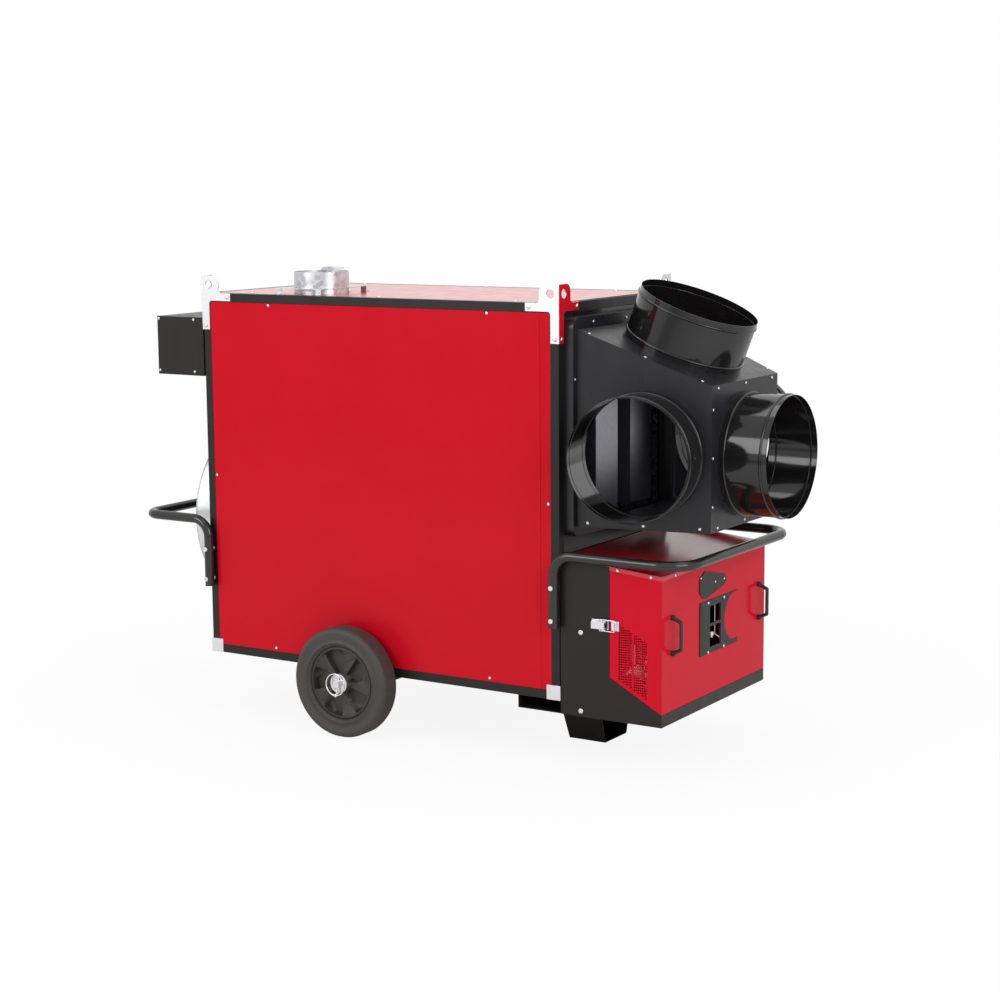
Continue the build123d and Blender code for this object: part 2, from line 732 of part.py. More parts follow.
def box_screws():
    heads = []
    for x in (-BOX_L + 8, -42):
        for height in (z(BOX_Z + 14), z(BOX_Z + BOX_H - 2 - BOX_LIP)):
            for y, normal in ((-BODY_W / 2, -1), (-BODY_W / 2 + BOX_D, 1)):
                heads.append(dome_screw((x, y, height), (0, normal, 0), SCREW_R, SCREW_H))
    return heads


# Heating core


def combustion_chamber():
    """Steel drum that the flame burns in."""
    x0, x1 = CHAMBER_X0, CHAMBER_X0 + CHAMBER_L
    centre = z(CHAMBER_Z)
    drum = rod((x0, 0, centre), (x1, 0, centre), CHAMBER_R)
    drum -= rod((x0 + CHAMBER_T, 0, centre), (x1 - CHAMBER_T, 0, centre), CHAMBER_R - CHAMBER_T)
    return drum - rod((x1 - 10, BURNER_Y, z(BURNER_Z)), (x1 + 1, BURNER_Y, z(BURNER_Z)), 72)


def chamber_supports():
    """Saddles that carry the drum on the floor panel."""
    saddles = []
    for x in (CHAMBER_X0 + 150, CHAMBER_X0 + CHAMBER_L - 150):
        block = slab(x - 20, x + 20, -180, 180, BODY_Z + SHEET * 2, z(CHAMBER_Z - 150))
        drum = rod((x - 30, 0, z(CHAMBER_Z)), (x + 30, 0, z(CHAMBER_Z)), CHAMBER_R)
        saddles.append(block - drum)
    return saddles


def heat_exchanger():
    """Flat upright pockets above the drum, side by side with air gaps between."""
    pockets = []
    low = z(CHAMBER_Z + CHAMBER_R + POCKET_GAP)
    for n in range(POCKETS):
        y = (n - (POCKETS - 1) / 2) * POCKET_PITCH
        outer = slab(POCKET_X0, POCKET_X0 + POCKET_L, y - POCKET_T / 2, y + POCKET_T / 2, low, low + POCKET_H)
        inner_half = POCKET_T / 2 - POCKET_WALL
        x0, x1 = POCKET_X0 - 1, POCKET_X0 + POCKET_L - POCKET_WALL
        outer -= slab(x0, x1, y - inner_half, y + inner_half, low + POCKET_WALL, low + POCKET_H - POCKET_WALL)
        pockets.append(outer)
    return pockets


def smoke_box():
    """Collecting box at the fan end of the pockets, joined to the flue above."""
    low = z(CHAMBER_Z + CHAMBER_R + POCKET_GAP)
    half = (POCKETS - 1) / 2 * POCKET_PITCH + POCKET_T / 2 + 10
    x1 = POCKET_X0
    x0 = x1 - SMOKE_L - 2 * FLUE_R
    x0 = min(x0, FLUE_X - FLUE_R - 10)
    box = slab(x0, x1, min(-half, FLUE_Y - FLUE_R - 10), half, low, low + POCKET_H)
    box -= slab(x0 + 2, x1 - 2, min(-half, FLUE_Y - FLUE_R - 10) + 2, half - 2, low + 2, low + POCKET_H - 2)
    box -= rod((FLUE_X, FLUE_Y, low + POCKET_H - 5), (FLUE_X, FLUE_Y, low + POCKET_H + 5), FLUE_NECK_R - FLUE_T)
    for n in range(POCKETS):
        y = (n - (POCKETS - 1) / 2) * POCKET_PITCH
        half_slot = POCKET_T / 2 - POCKET_WALL
        box -= slab(x1 - 5, x1 + 5, y - half_slot, y + half_slot, low + POCKET_WALL, low + POCKET_H - POCKET_WALL)
    return box


def chamber_riser():
    """Short duct that leads the flue gas from the drum up into the pockets' far end."""
    low = z(CHAMBER_Z + CHAMBER_R)
    high = low + POCKET_GAP
    x1 = CHAMBER_X1 - RISER_END_GAP
    x0 = x1 - RISER_L
    half = RISER_W / 2
    inner = half - POCKET_WALL
    riser = slab(x0, x1, -half, half, low - 40, high)
    riser -= slab(x0 + POCKET_WALL, x1 - POCKET_WALL, -inner, inner, low - 60, high + 1)
    return riser - rod((x0 - 1, 0, z(CHAMBER_Z)), (x1 + 1, 0, z(CHAMBER_Z)), CHAMBER_R)


def flue_pipe():
    """Flue collar through the top panel."""
    low = z(CHAMBER_Z + CHAMBER_R + POCKET_GAP) + POCKET_H
    high = TOP_Z + FLUE_H
    seat = TOP_Z + FLUE_PLATE_Z + FLUE_SEAT_GAP
    pipe = rod((FLUE_X, FLUE_Y, low), (FLUE_X, FLUE_Y, seat), FLUE_NECK_R)
    pipe += rod((FLUE_X, FLUE_Y, seat), (FLUE_X, FLUE_Y, high), FLUE_R)
    return pipe - rod((FLUE_X, FLUE_Y, low - 1), (FLUE_X, FLUE_Y, high + 1), FLUE_NECK_R - FLUE_T)


def flue_plate():
    """Raised square plate round the collar, standing on four folded feet."""
    z0 = TOP_Z + FLUE_PLATE_Z
    half_x, half_y = FLUE_PLATE_X / 2, FLUE_PLATE_Y / 2
    plate = slab(-half_x, half_x, -half_y, half_y, z0 - FLUE_PLATE_T, z0)
    for x_side in (-1, 1):
        for y_side in (-1, 1):
            x = x_side * (half_x - 15)
            y = y_side * half_y
            leg = slab(x - 12, x + 12, min(y, y - y_side * 2), max(y, y - y_side * 2), TOP_Z, z0)
            toe = slab(x - 12, x + 12, min(y, y + y_side * 14), max(y, y + y_side * 14), TOP_Z, TOP_Z + 2)
            plate += leg + toe
    plate = Pos(FLUE_X, FLUE_Y, 0) * plate
    return plate - rod((FLUE_X, FLUE_Y, TOP_Z - 1), (FLUE_X, FLUE_Y, z0 + 1), FLUE_NECK_R + 0.2)


# Outlet plenum


def outlet_collar():
    """Flanged frame between the casing and the plenum, with rounded corners."""
    centre = z((COLLAR_Z0 + COLLAR_Z1) / 2)
    height = COLLAR_Z1 - COLLAR_Z0
    plane = Plane(origin=(BODY_L - BRACKET_T, 0, centre), x_dir=(0, 1, 0), z_dir=(1, 0, 0))
    outer = extrude(plane * RectangleRounded(2 * COLLAR_HALF_W, height, COLLAR_R), COLLAR_L + BRACKET_T)
    half = COLLAR_HALF_W - PLENUM_T
    outer -= slab(
        0, PLENUM_X0 - PLENUM_T, -half + COLLAR_R / 4, half - COLLAR_R / 4,
        z(COLLAR_Z0 + COLLAR_R / 4), z(COLLAR_Z1 - COLLAR_R / 4),
    )
    inner_y = PLENUM_BACK_HALF_W - PLENUM_T
    return outer - slab(0, PLENUM_X0 + 1, -inner_y, inner_y, z(PLENUM_Z0 + PLENUM_T), z(PLENUM_BACK_Z1 - PLENUM_T))


def plenum_block(inset):
    """The plenum's tapered outer volume, or the same set in by a wall thickness."""
    back = Plane(origin=(PLENUM_X0, 0, 0), x_dir=(0, 1, 0), z_dir=(1, 0, 0))
    front = Plane(origin=(PLENUM_X1, 0, 0), x_dir=(0, 1, 0), z_dir=(1, 0, 0))

    def outline(half, low, high):
        return make_face(Polyline((-half, low), (half, low), (half, high), (-half, high), close=True))

    low = z(PLENUM_Z0) + inset
    start = back * outline(PLENUM_BACK_HALF_W - inset, low, z(PLENUM_BACK_Z1) - inset)
    end = front * outline(PLENUM_FRONT_HALF_W - inset, low, z(PLENUM_FRONT_Z1) - inset)
    return loft([start.faces()[0], end.faces()[0]])


def side_wall_angle():
    return math.atan2(PLENUM_BACK_HALF_W - PLENUM_FRONT_HALF_W, PLENUM_L)


def top_wall_angle():
    return math.atan2(PLENUM_BACK_Z1 - PLENUM_FRONT_Z1, PLENUM_L)


def side_duct_frame(y_side):
    """Centre and outward direction of a side spigot on the tapered wall."""
    angle = side_wall_angle()
    x = PLENUM_X1 - SIDE_DUCT_BACK * math.cos(angle)
    y = PLENUM_FRONT_HALF_W + SIDE_DUCT_BACK * math.sin(angle)
    return (x, y_side * y, z(SIDE_DUCT_Z)), (math.sin(angle), y_side * math.cos(angle), 0)


def top_duct_frame():
    angle = top_wall_angle()
    x = PLENUM_X1 - TOP_DUCT_BACK * math.cos(angle)
    height = z(PLENUM_FRONT_Z1) + TOP_DUCT_BACK * math.sin(angle)
    return (x, 0, height), (math.sin(angle), 0, math.cos(angle))


def front_duct_frame():
    return (PLENUM_X1, 0, z(FRONT_DUCT_Z)), (1, 0, 0)


def plenum():
    """Tapered air box with four round outlets."""
    front_wall = slab(PLENUM_X1 - PLENUM_T, PLENUM_X1 + 1, -BODY_W, BODY_W, 0, 2 * BODY_H)
    box = plenum_block(0) - (plenum_block(PLENUM_T) - front_wall)
    for centre, normal in (side_duct_frame(-1), side_duct_frame(1), front_duct_frame(), top_duct_frame()):
        plane = Plane(origin=centre, z_dir=normal)
        box -= extrude(plane * Circle(DUCT_R), 30, both=True)
    return box


def spigot(centre, normal):
    """Round outlet stub with a rolled bead near its rim and another near its root."""
    inner = DUCT_R - DUCT_T
    root, rim = ROOT_LAND, DUCT_L - RIM_LAND
    profile = make_face(Polyline(
        (inner, -6, 0), (DUCT_R - 0.3, -6, 0), (DUCT_R - 0.3, 0, 0), (DUCT_R, 0.3, 0),
        (DUCT_R, root, 0), (DUCT_R + BEAD_R, root + BEAD_R, 0), (DUCT_R, root + 2 * BEAD_R, 0),
        (DUCT_R, rim - 2 * BEAD_R, 0), (DUCT_R + BEAD_R, rim - BEAD_R, 0), (DUCT_R, rim, 0),
        (DUCT_R, DUCT_L, 0), (inner, DUCT_L, 0), (inner, rim, 0),
        (inner + BEAD_R, rim - BEAD_R, 0), (inner, rim - 2 * BEAD_R, 0),
        (inner, root + 2 * BEAD_R, 0), (inner + BEAD_R, root + BEAD_R, 0), (inner, root, 0),
        close=True,
    ))
    turned = revolve(profile, Axis.Y)
    upright = Rot(90, 0, 0) * turned
    return Plane(origin=centre, z_dir=normal) * upright


def plenum_screws():
    """Round heads along the plenum's seams and on its outlet frame."""
    heads = []
    slope = top_wall_angle()
    taper = side_wall_angle()
    for share in (0.08, 0.5, 0.92):
        x = PLENUM_X0 + share * PLENUM_L
        half = PLENUM_BACK_HALF_W - share * (PLENUM_BACK_HALF_W - PLENUM_FRONT_HALF_W)
        top = z(PLENUM_BACK_Z1 - share * (PLENUM_BACK_Z1 - PLENUM_FRONT_Z1))
        for side in (-1, 1):
            normal = (math.sin(slope), 0, math.cos(slope))
            heads.append(dome_screw((x, side * (half - 12), top), normal, SCREW_R, SCREW_H))
            normal = (math.sin(taper), side * math.cos(taper), 0)
            heads.append(dome_screw((x, side * half, z(PLENUM_Z0 + 14)), normal, SCREW_R, SCREW_H))
    for y in (-PLENUM_FRONT_HALF_W + 46, 0, PLENUM_FRONT_HALF_W - 46):
        for height in (PLENUM_FRONT_Z1 - 11, PLENUM_Z0 + 14):
            heads.append(dome_screw((PLENUM_X1, y, z(height)), (1, 0, 0), SCREW_R, SCREW_H))
    for y in (-PLENUM_FRONT_HALF_W + 12, PLENUM_FRONT_HALF_W - 12):
        for height in (PLENUM_Z0 + 85, PLENUM_Z0 + 241, PLENUM_Z0 + 395):
            heads.append(dome_screw((PLENUM_X1, y, z(height)), (1, 0, 0), SCREW_R, SCREW_H))
    flange_y = (COLLAR_HALF_W + PLENUM_BACK_HALF_W) / 2
    flange_z = (COLLAR_Z1 + PLENUM_BACK_Z1) / 2
    for y in (-220, 0, 220):
        heads.append(dome_screw((PLENUM_X0, y, z(flange_z)), (1, 0, 0), SCREW_R, SCREW_H))
    for y in (-flange_y, flange_y):
        for height in (PLENUM_Z0 + 126, PLENUM_BACK_Z1 - 160):
            heads.append(dome_screw((PLENUM_X0, y, z(height)), (1, 0, 0), SCREW_R, SCREW_H))
    return heads


# Handles


def bent_tube(points, radii, radius, wall):
    """Round tube along straight runs joined by true bends."""
    verts = [Vector(*p) for p in points]
    edges = []
    cursor = verts[0]
    for n in range(1, len(verts) - 1):
        before = (verts[n - 1] - verts[n]).normalized()
        after = (verts[n + 1] - verts[n]).normalized()
        bend = radii[n - 1]
        enter = verts[n] + before * bend
        leave = verts[n] + after * bend
        middle = verts[n] + (before + after) * bend - (before + after).normalized() * bend
        edges.append(Line(cursor, enter))
        edges.append(ThreePointArc(enter, middle, leave))
        cursor = leave
    edges.append(Line(cursor, verts[-1]))
    path = Wire(edges)
    plane = Plane(origin=verts[0], z_dir=verts[1] - verts[0])
    solid = sweep(plane * Circle(radius), path=path)
    if wall:
        solid -= sweep(plane * Circle(radius - wall), path=path)
    return solid


def bar_handle(x_leg, x_bar, corner_r):
    """Bent tube handle: two upright legs, two side runs and a cross bar."""
    y, low, high = HANDLE_Y, z(HANDLE_Z0), z(HANDLE_Z)
    points = [
        (x_leg, -y, low),
        (x_leg, -y, high),
        (x_bar, -y, high),
        (x_bar, y, high),
        (x_leg, y, high),
        (x_leg, y, low),
    ]
    tube = bent_tube(points, [HANDLE_RISE_R, corner_r, corner_r, HANDLE_RISE_R], HANDLE_R, HANDLE_WALL)
    for height in HANDLE_BOLT_Z:
        tube -= rod((x_leg, -y - 40, z(height)), (x_leg, y + 40, z(height)), 4.3)
    return tube


def front_handle():
    return bar_handle(BODY_L - HANDLE_LEG_INSET, BODY_L + FRONT_REACH, FRONT_CORNER_R)


def rear_handle():
    return bar_handle(HANDLE_LEG_INSET, -REAR_REACH, REAR_CORNER_R)


def handle_bolts():
    """Bolts through the handle legs, each with its spacer against the post."""
    bolts = []
    for x in (HANDLE_LEG_INSET, BODY_L - HANDLE_LEG_INSET):
        for height in HANDLE_BOLT_Z:
            for side in (-1, 1):
                face = side * FRAME_Y
                outer = side * (HANDLE_Y + HANDLE_R)
                bolt = rod((x, face, z(height)), (x, face + side * HANDLE_STANDOFF, z(height)), 9)
                bolt += rod((x, face, z(height)), (x, outer, z(height)), 4)
                bolt += rod((x, outer, z(height)), (x, outer + side * 6, z(height)), 8)
                bolts.append(bolt)
    return bolts


# Burner compartment


def top_height(x):
    """Height of the cover's sloping top at a place along X."""
    share = (x - BODY_L) / BURNER_L
    return BURNER_BACK_Z + share * (BURNER_FRONT_Z - BURNER_BACK_Z)


def burner_base():
    """Tray with upright side plates, cut away below the cover."""
    x0, x1 = BODY_L, COVER_X1
    xs = BODY_L + SIDE_PLATE_L
    outline = [
        (x0, z(-BURNER_DROP)),
        (x1, z(-BURNER_DROP)),
        (x1, z(BURNER_LIP_Z)),
        (xs, z(SIDE_PLATE_Z)),
        (xs, z(top_height(xs) - 2 * SHEET)),
        (x0, z(top_height(x0) - 2 * SHEET)),
    ]
    plate = xz_plate(outline, -COVER_Y, 2.0)
    base = plate + mirrored_y(plate)
    base += slab(x0, x1, -COVER_Y, COVER_Y, z(-BURNER_DROP), z(-BURNER_DROP) + 2)
    base += slab(x1 - 2, x1, -COVER_Y, COVER_Y, z(-BURNER_DROP), z(BURNER_LIP_Z))
    return base


def base_bolts():
    heads = []
    for height in (-24, 238):
        for side in (-1, 1):
            point = (BODY_L + 77, side * COVER_Y, z(height))
            heads.append(dome_screw(point, (0, side, 0), BOLT_R + 2, BOLT_H))
    return heads


def burner_cover():
    """Red cover: front sheet and two side sheets, perforated low down on each side."""
    x0, x1 = BODY_L + SIDE_PLATE_L + COVER_GAP, COVER_X1
    side = [
        (x0, z(SIDE_PLATE_Z + COVER_GAP)),
        (x1, z(BURNER_LIP_Z + COVER_GAP)),
        (x1, z(BURNER_FRONT_Z - 2 * SHEET)),
        (x0, z(top_height(x0) - 2 * SHEET)),
    ]
    sheet = xz_plate(side, -COVER_Y, SHEET)
    window = [
        (GRILLE_X0, z(GRILLE_LOW0)),
        (GRILLE_X1, z(GRILLE_LOW1)),
        (GRILLE_X1, z(GRILLE_TOP1)),
        (GRILLE_X0, z(GRILLE_TOP0)),
    ]
    sheet -= xz_plate(window, -COVER_Y - 1, SHEET + 2)
    cover = sheet + mirrored_y(sheet)
    front_low, front_high = z(BURNER_LIP_Z + COVER_GAP), z(BURNER_FRONT_Z - 2 * SHEET)
    cover += slab(x1 - SHEET, x1, -COVER_Y, COVER_Y, front_low, front_high)
    for low, high in ENTRY_WINDOWS:
        cover -= slab(x1 - 9, x1 + 9, ENTRY_Y0, ENTRY_Y1, z(low), z(high))
    return cover


def cover_grilles():
    """Perforated sheets behind the two side windows."""
    margin = 4
    outline = [
        (GRILLE_X0 - margin, z(GRILLE_LOW0 - margin / 2)),
        (GRILLE_X1 + margin, z(GRILLE_LOW1 - margin)),
        (GRILLE_X1 + margin, z(GRILLE_TOP1 + margin)),
        (GRILLE_X0 - margin, z(GRILLE_TOP0 + margin)),
    ]
    sheet = xz_plate(outline, -COVER_Y + SHEET, 1.2)
    holes = []
    width = GRILLE_X1 - GRILLE_X0
    middle = GRILLE_X0 + width / 2
    column = 0
    x = GRILLE_X0 + GRILLE_PITCH / 2
    while x < GRILLE_X1 - 2:
        share = (x - GRILLE_X0) / width
        low = GRILLE_LOW0 + share * (GRILLE_LOW1 - GRILLE_LOW0) + 4
        high = GRILLE_TOP0 + share * (GRILLE_TOP1 - GRILLE_TOP0) - 4
        height = low + (GRILLE_PITCH / 2 if column % 2 else 0)
        while height < high and abs(x - middle) > 4:
            holes.append(Pos(x, -COVER_Y + SHEET + 0.6, z(height)) * Rot(90, 0, 0) * Cylinder(GRILLE_HOLE_R, 4))
            height += GRILLE_PITCH
        x += GRILLE_PITCH * 0.87
        column += 1
    sheet -= holes
    return [sheet, mirrored_y(sheet)]


def cover_top():
    """Sloping lid of the cover with folded side and front lips."""
    x0, x1 = BODY_L + PANEL_GAP, COVER_X1 + SHEET
    half = COVER_Y + SHEET
    outline = [
        (x0, z(top_height(x0) - SHEET)),
        (x1, z(top_height(x1) - SHEET)),
        (x1, z(top_height(x1))),
        (x0, z(top_height(x0))),
    ]
    lid = xz_plate(outline, -half, 2 * half)
    lip = [
        (x0 + SIDE_PLATE_L, z(top_height(x0 + SIDE_PLATE_L) - 14)),
        (x1, z(top_height(x1) - 14)),
        (x1, z(top_height(x1))),
        (x0 + SIDE_PLATE_L, z(top_height(x0 + SIDE_PLATE_L))),
    ]
    lid += xz_plate(lip, -half, SHEET)
    lid += xz_plate(lip, half - SHEET, SHEET)
    lid += slab(x1 - SHEET, x1, -half, half, z(top_height(x1) - 14), z(top_height(x1) - SHEET / 2))
    return lid


def cover_screws():
    heads = []
    side_y = COVER_Y + SHEET
    for x in (BODY_L + COVER_SCREW_BACK, COVER_X1 - COVER_SCREW_FRONT):
        for side in (-1, 1):
            heads.append(dome_screw((x, side * side_y, z(top_height(x) - 8)), (0, side, 0), SCREW_R, SCREW_H))
    for y in (-COVER_Y + 87, COVER_Y - 87):
        heads.append(dome_screw((COVER_X1 + SHEET, y, z(BURNER_FRONT_Z - 8)), (1, 0, 0), SCREW_R, SCREW_H))
    return heads


def bow_handles():
    """Two pull handles on the cover's front: feet, sloped arms and a round grip."""
    handles = []
    x0 = COVER_X1
    for y in BOW_Y:
        low, high = z(BOW_Z[0]), z(BOW_Z[1])
        points = [
            (x0 + 5, y, low),
            (x0 + BOW_OUT, y, low + 14),
            (x0 + BOW_OUT, y, high - 14),
            (x0 + 5, y, high),
        ]
        grip = rod(points[0], points[1], BOW_R)
        grip += rod(points[1], points[2], BOW_R)
        grip += rod(points[2], points[3], BOW_R)
        grip += Pos(*points[1]) * Sphere(BOW_R) + Pos(*points[2]) * Sphere(BOW_R)
        for height in (low, high):
            foot = rod((x0, y, height), (x0 + 12, y, height), BOW_R + 3)
            grip += foot
        handles.append(grip - slab(x0 - 20, x0, y - 20, y + 20, low - 30, high + 30))
    return handles


def on_cover(outline, thickness):
    """A plate lying on the cover's front, from an outline in Y and height above the frame."""
    plane = Plane(origin=(COVER_X1, 0, 0), x_dir=(0, 1, 0), z_dir=(1, 0, 0))
    face = make_face(Polyline(*[(y, z(height)) for y, height in outline], close=True))
    return extrude(plane * face, thickness)


def entry_plate():
    """Blanking plate with three rounded corners above the inlet bracket."""
    outline = [(-118, 396), (-84, 418), (62, 388), (80, 366), (60, 350), (-74, 324), (-100, 330), (-122, 352)]
    plate = on_cover(outline, ENTRY_T)
    return fillet(plate.edges().filter_by(Axis.X), 8)


def inlet_bracket():
    """Plate with a hollowed side and two windows over the pipe entry."""
    plate = on_cover([(-117, 136), (162, 136), (162, 316), (-117, 316)], ENTRY_T)
    hollow = Plane(origin=(COVER_X1, 146, z(231)), z_dir=(1, 0, 0))
    plate -= extrude(hollow * Circle(82), 10, both=True)
    for low, high in ENTRY_WINDOWS:
        plate -= slab(COVER_X1 - 9, COVER_X1 + 9, ENTRY_Y0, ENTRY_Y1, z(low), z(high))
    return plate


def plate_screws():
    heads = []
    for y, height in ((-115, 400), (-10, 372), (55, 372)):
        heads.append(dome_screw((COVER_X1 + 3, y, z(height)), (1, 0, 0), SCREW_R - 1, SCREW_H))
    for y, height in ((-60, 308), (57, 308), (-60, 142), (57, 142)):
        heads.append(dome_screw((COVER_X1 + 3, y, z(height)), (1, 0, 0), SCREW_R, SCREW_H))
    return heads


def latch_base():
    """Latch base plate with two ears that hold the lever's pivot."""
    x, y, height = LATCH_X, -COVER_Y, z(LATCH_Z)
    base = slab(x - 50, x + 12, y - 2, y, height - 16, height + 16)
    base += slab(x - 8, x + 8, y - 16, y - 2, height - 16, height - 13)
    base += slab(x - 8, x + 8, y - 16, y - 2, height + 13, height + 16)
    return base - rod((x, y - 10, height - 20), (x, y - 10, height + 20), 3.05)


def latch_lever():
    """Latch lever: a curved channel on its pivot pin, reaching back over the base."""
    x, y, height = LATCH_X, -COVER_Y, z(LATCH_Z)
    lever = slab(x - 44, x + 3, y - 18, y - 14, height - 11, height + 11)
    for side in (-1, 1):
        lever += rod((x, y - 10, height + side * 9.5), (x, y - 10, height + side * 16), 3)
    lever += slab(x - 44, x + 4, y - 18, y - 6, height - 12, height - 9.5)
    lever += slab(x - 44, x + 4, y - 18, y - 6, height + 9.5, height + 12)
    back = x - LATCH_THROW
    hole = rod((back, y - 10, height - 20), (back, y - 10, height + 20), 2.05)
    return lever - hole


def latch_loop():
    """Wire loop outside the lever's cheeks that draws the cover's keeper in."""
    x, y, height = LATCH_X, -COVER_Y - 10, z(LATCH_Z)
    back, front, half = x - LATCH_THROW, x + 36, LATCH_LOOP_HALF
    loop = rod((back, y, height - half - 1.5), (back, y, height + half + 1.5), 2)
    loop += rod((front, y, height - half - 1.5), (front, y, height + half + 1.5), 1.5)
    for side in (-1, 1):
        loop += rod((back, y, height + side * half), (front, y, height + side * half), 1.5)
    return loop


def latch_keeper():
    """Catch on the cover that the loop lies over."""
    x, y, height = LATCH_X, -COVER_Y, z(LATCH_Z)
    keeper = slab(x + 22, x + 50, y - 2, y, height - 16, height + 16)
    return keeper + slab(x + 30, x + 42, y - 8, y - 2, height - 12, height + 12)


def burner_head():
    """Burner body and flame tube that reaches into the drum."""
    y, height = BURNER_Y, z(BURNER_Z)
    tube = rod((CHAMBER_X0 + CHAMBER_L - 60, y, height), (BODY_L + 10, y, height), 70)
    tube -= rod((CHAMBER_X0 + CHAMBER_L - 61, y, height), (BODY_L + 2, y, height), 66)
    flange = rod((BODY_L - BRACKET_T, y, height), (BODY_L + 10, y, height), 110)
    flange -= rod((BODY_L - BRACKET_T - 1, y, height), (BODY_L + 2, y, height), 66)
    body = slab(BODY_L + 10, BODY_L + 120, y - 95, y + 95, height - 95, height + 95)
    return tube + flange + body


def burner_fan_housing():
    """Round blower housing beside the burner body, hollow for its wheel."""
    y, height = BURNER_Y, z(BURNER_Z)
    x0, x1 = BODY_L + 120, BODY_L + 200
    house = rod((x0, y, height), (x1, y, height), 118)
    house -= rod((x0 + 3, y, height), (x1 - 3, y, height), 115)
    return house - rod((x1 - 5, y, height), (x1 + 5, y, height), 40)


def burner_impeller():
    """Blower wheel: back disc, vanes and a hub on the motor shaft."""
    y, height = BURNER_Y, z(BURNER_Z)
    x0 = BODY_L + 132
    wheel = rod((x0, 0, 0), (x0 + 3, 0, 0), 100)
    wheel += rod((x0, 0, 0), (x0 + 40, 0, 0), 18)
    for n in range(12):
        vane = slab(x0 + 2, x0 + 50, -1.5, 1.5, 74, 98)
        wheel += Rot(30 * n, 0, 0) * vane
    wheel -= rod((x0 - 1, 0, 0), (x0 + 60, 0, 0), 8 + SHAFT_CLEAR)
    return Pos(0, y, height) * wheel


def burner_motor():
    """Blower motor with its shaft through the housing's eye."""
    y, height = BURNER_Y, z(BURNER_Z)
    x0 = BODY_L + 200
    motor = rod((x0, y, height), (x0 + 95, y, height), 60)
    motor += rod((x0 + 95, y, height), (x0 + 103, y, height), 46)
    return motor + rod((BODY_L + 134, y, height), (x0, y, height), 8)


def gas_valve():
    """Gas valve block with its solenoid and test knob."""
    x, y, height = GAS_X, GAS_Y, z(GAS_Z)
    block = slab(x - 35, x + 35, y - 35, y + 35, height - 30, height + 30)
    coil = rod((x - 8, y, height + 30), (x - 8, y, height + 95), 24)
    knob = rod((x - 20, y - 35, height), (x - 20, y - 47, height), 12)
    foot = slab(x - 12, x + 12, y - 12, y + 12, z(-BURNER_DROP) + 2, height - 30)
    return block + coil + knob + foot


def gas_coupling():
    """Ribbed flexible coupling that stands beside the valve."""
    x, y, low = GAS_X + 70, GAS_Y - 30, z(-BURNER_DROP) + 2
    outline = [(0, 0), (22, 0)]
    for n in range(5):
        step = 40 * n
        outline += [(22, 14 + step), (30, 22 + step), (30, 38 + step), (22, 46 + step)]
    outline += [(22, 214), (0, 214)]
    face = make_face(Polyline(*[(r, 0, h) for r, h in outline], close=True))
    return Pos(x, y, low) * revolve(face, Axis.Z)


def gas_pipe():
    """Pipe from the entry window to the valve, and from the valve to the burner body."""
    x, y, height = GAS_X, GAS_Y, z(GAS_Z)
    entry_z = z(sum(ENTRY_WINDOWS[0]) / 2)
    turn_x = COVER_X1 - 42
    inlet = bent_tube(
        [(COVER_X1 - 8, -5, entry_z), (turn_x, -5, entry_z), (turn_x, -205, entry_z)],
        [20],
        11,
        0,
    )
    drop = bent_tube(
        [(turn_x, -205, entry_z), (turn_x, y + 20, entry_z), (turn_x, y + 20, height), (x + 35, y + 20, height)],
        [20, 30],
        11,
        0,
    )
    feed = bent_tube(
        [(x - 35, y, height), (x - 130, y, height), (x - 130, y, z(220)), (x - 130, -95, z(220))],
        [30, 30],
        11,
        0,
    )
    return [inlet + drop, feed]


def both_sides(build):
    """A piece and its mirror twin on the far side."""
    return [build(), mirrored_y(build())]


def far_side(build):
    return mirrored_y(build())


def spigots():
    frames = (side_duct_frame(-1), side_duct_frame(1), front_duct_frame(), top_duct_frame())
    return [spigot(*frame) for frame in frames]


def lifting_brackets():
    return [lifting_bracket(x_side, y_side) for x_side in (-1, 1) for y_side in (-1, 1)]


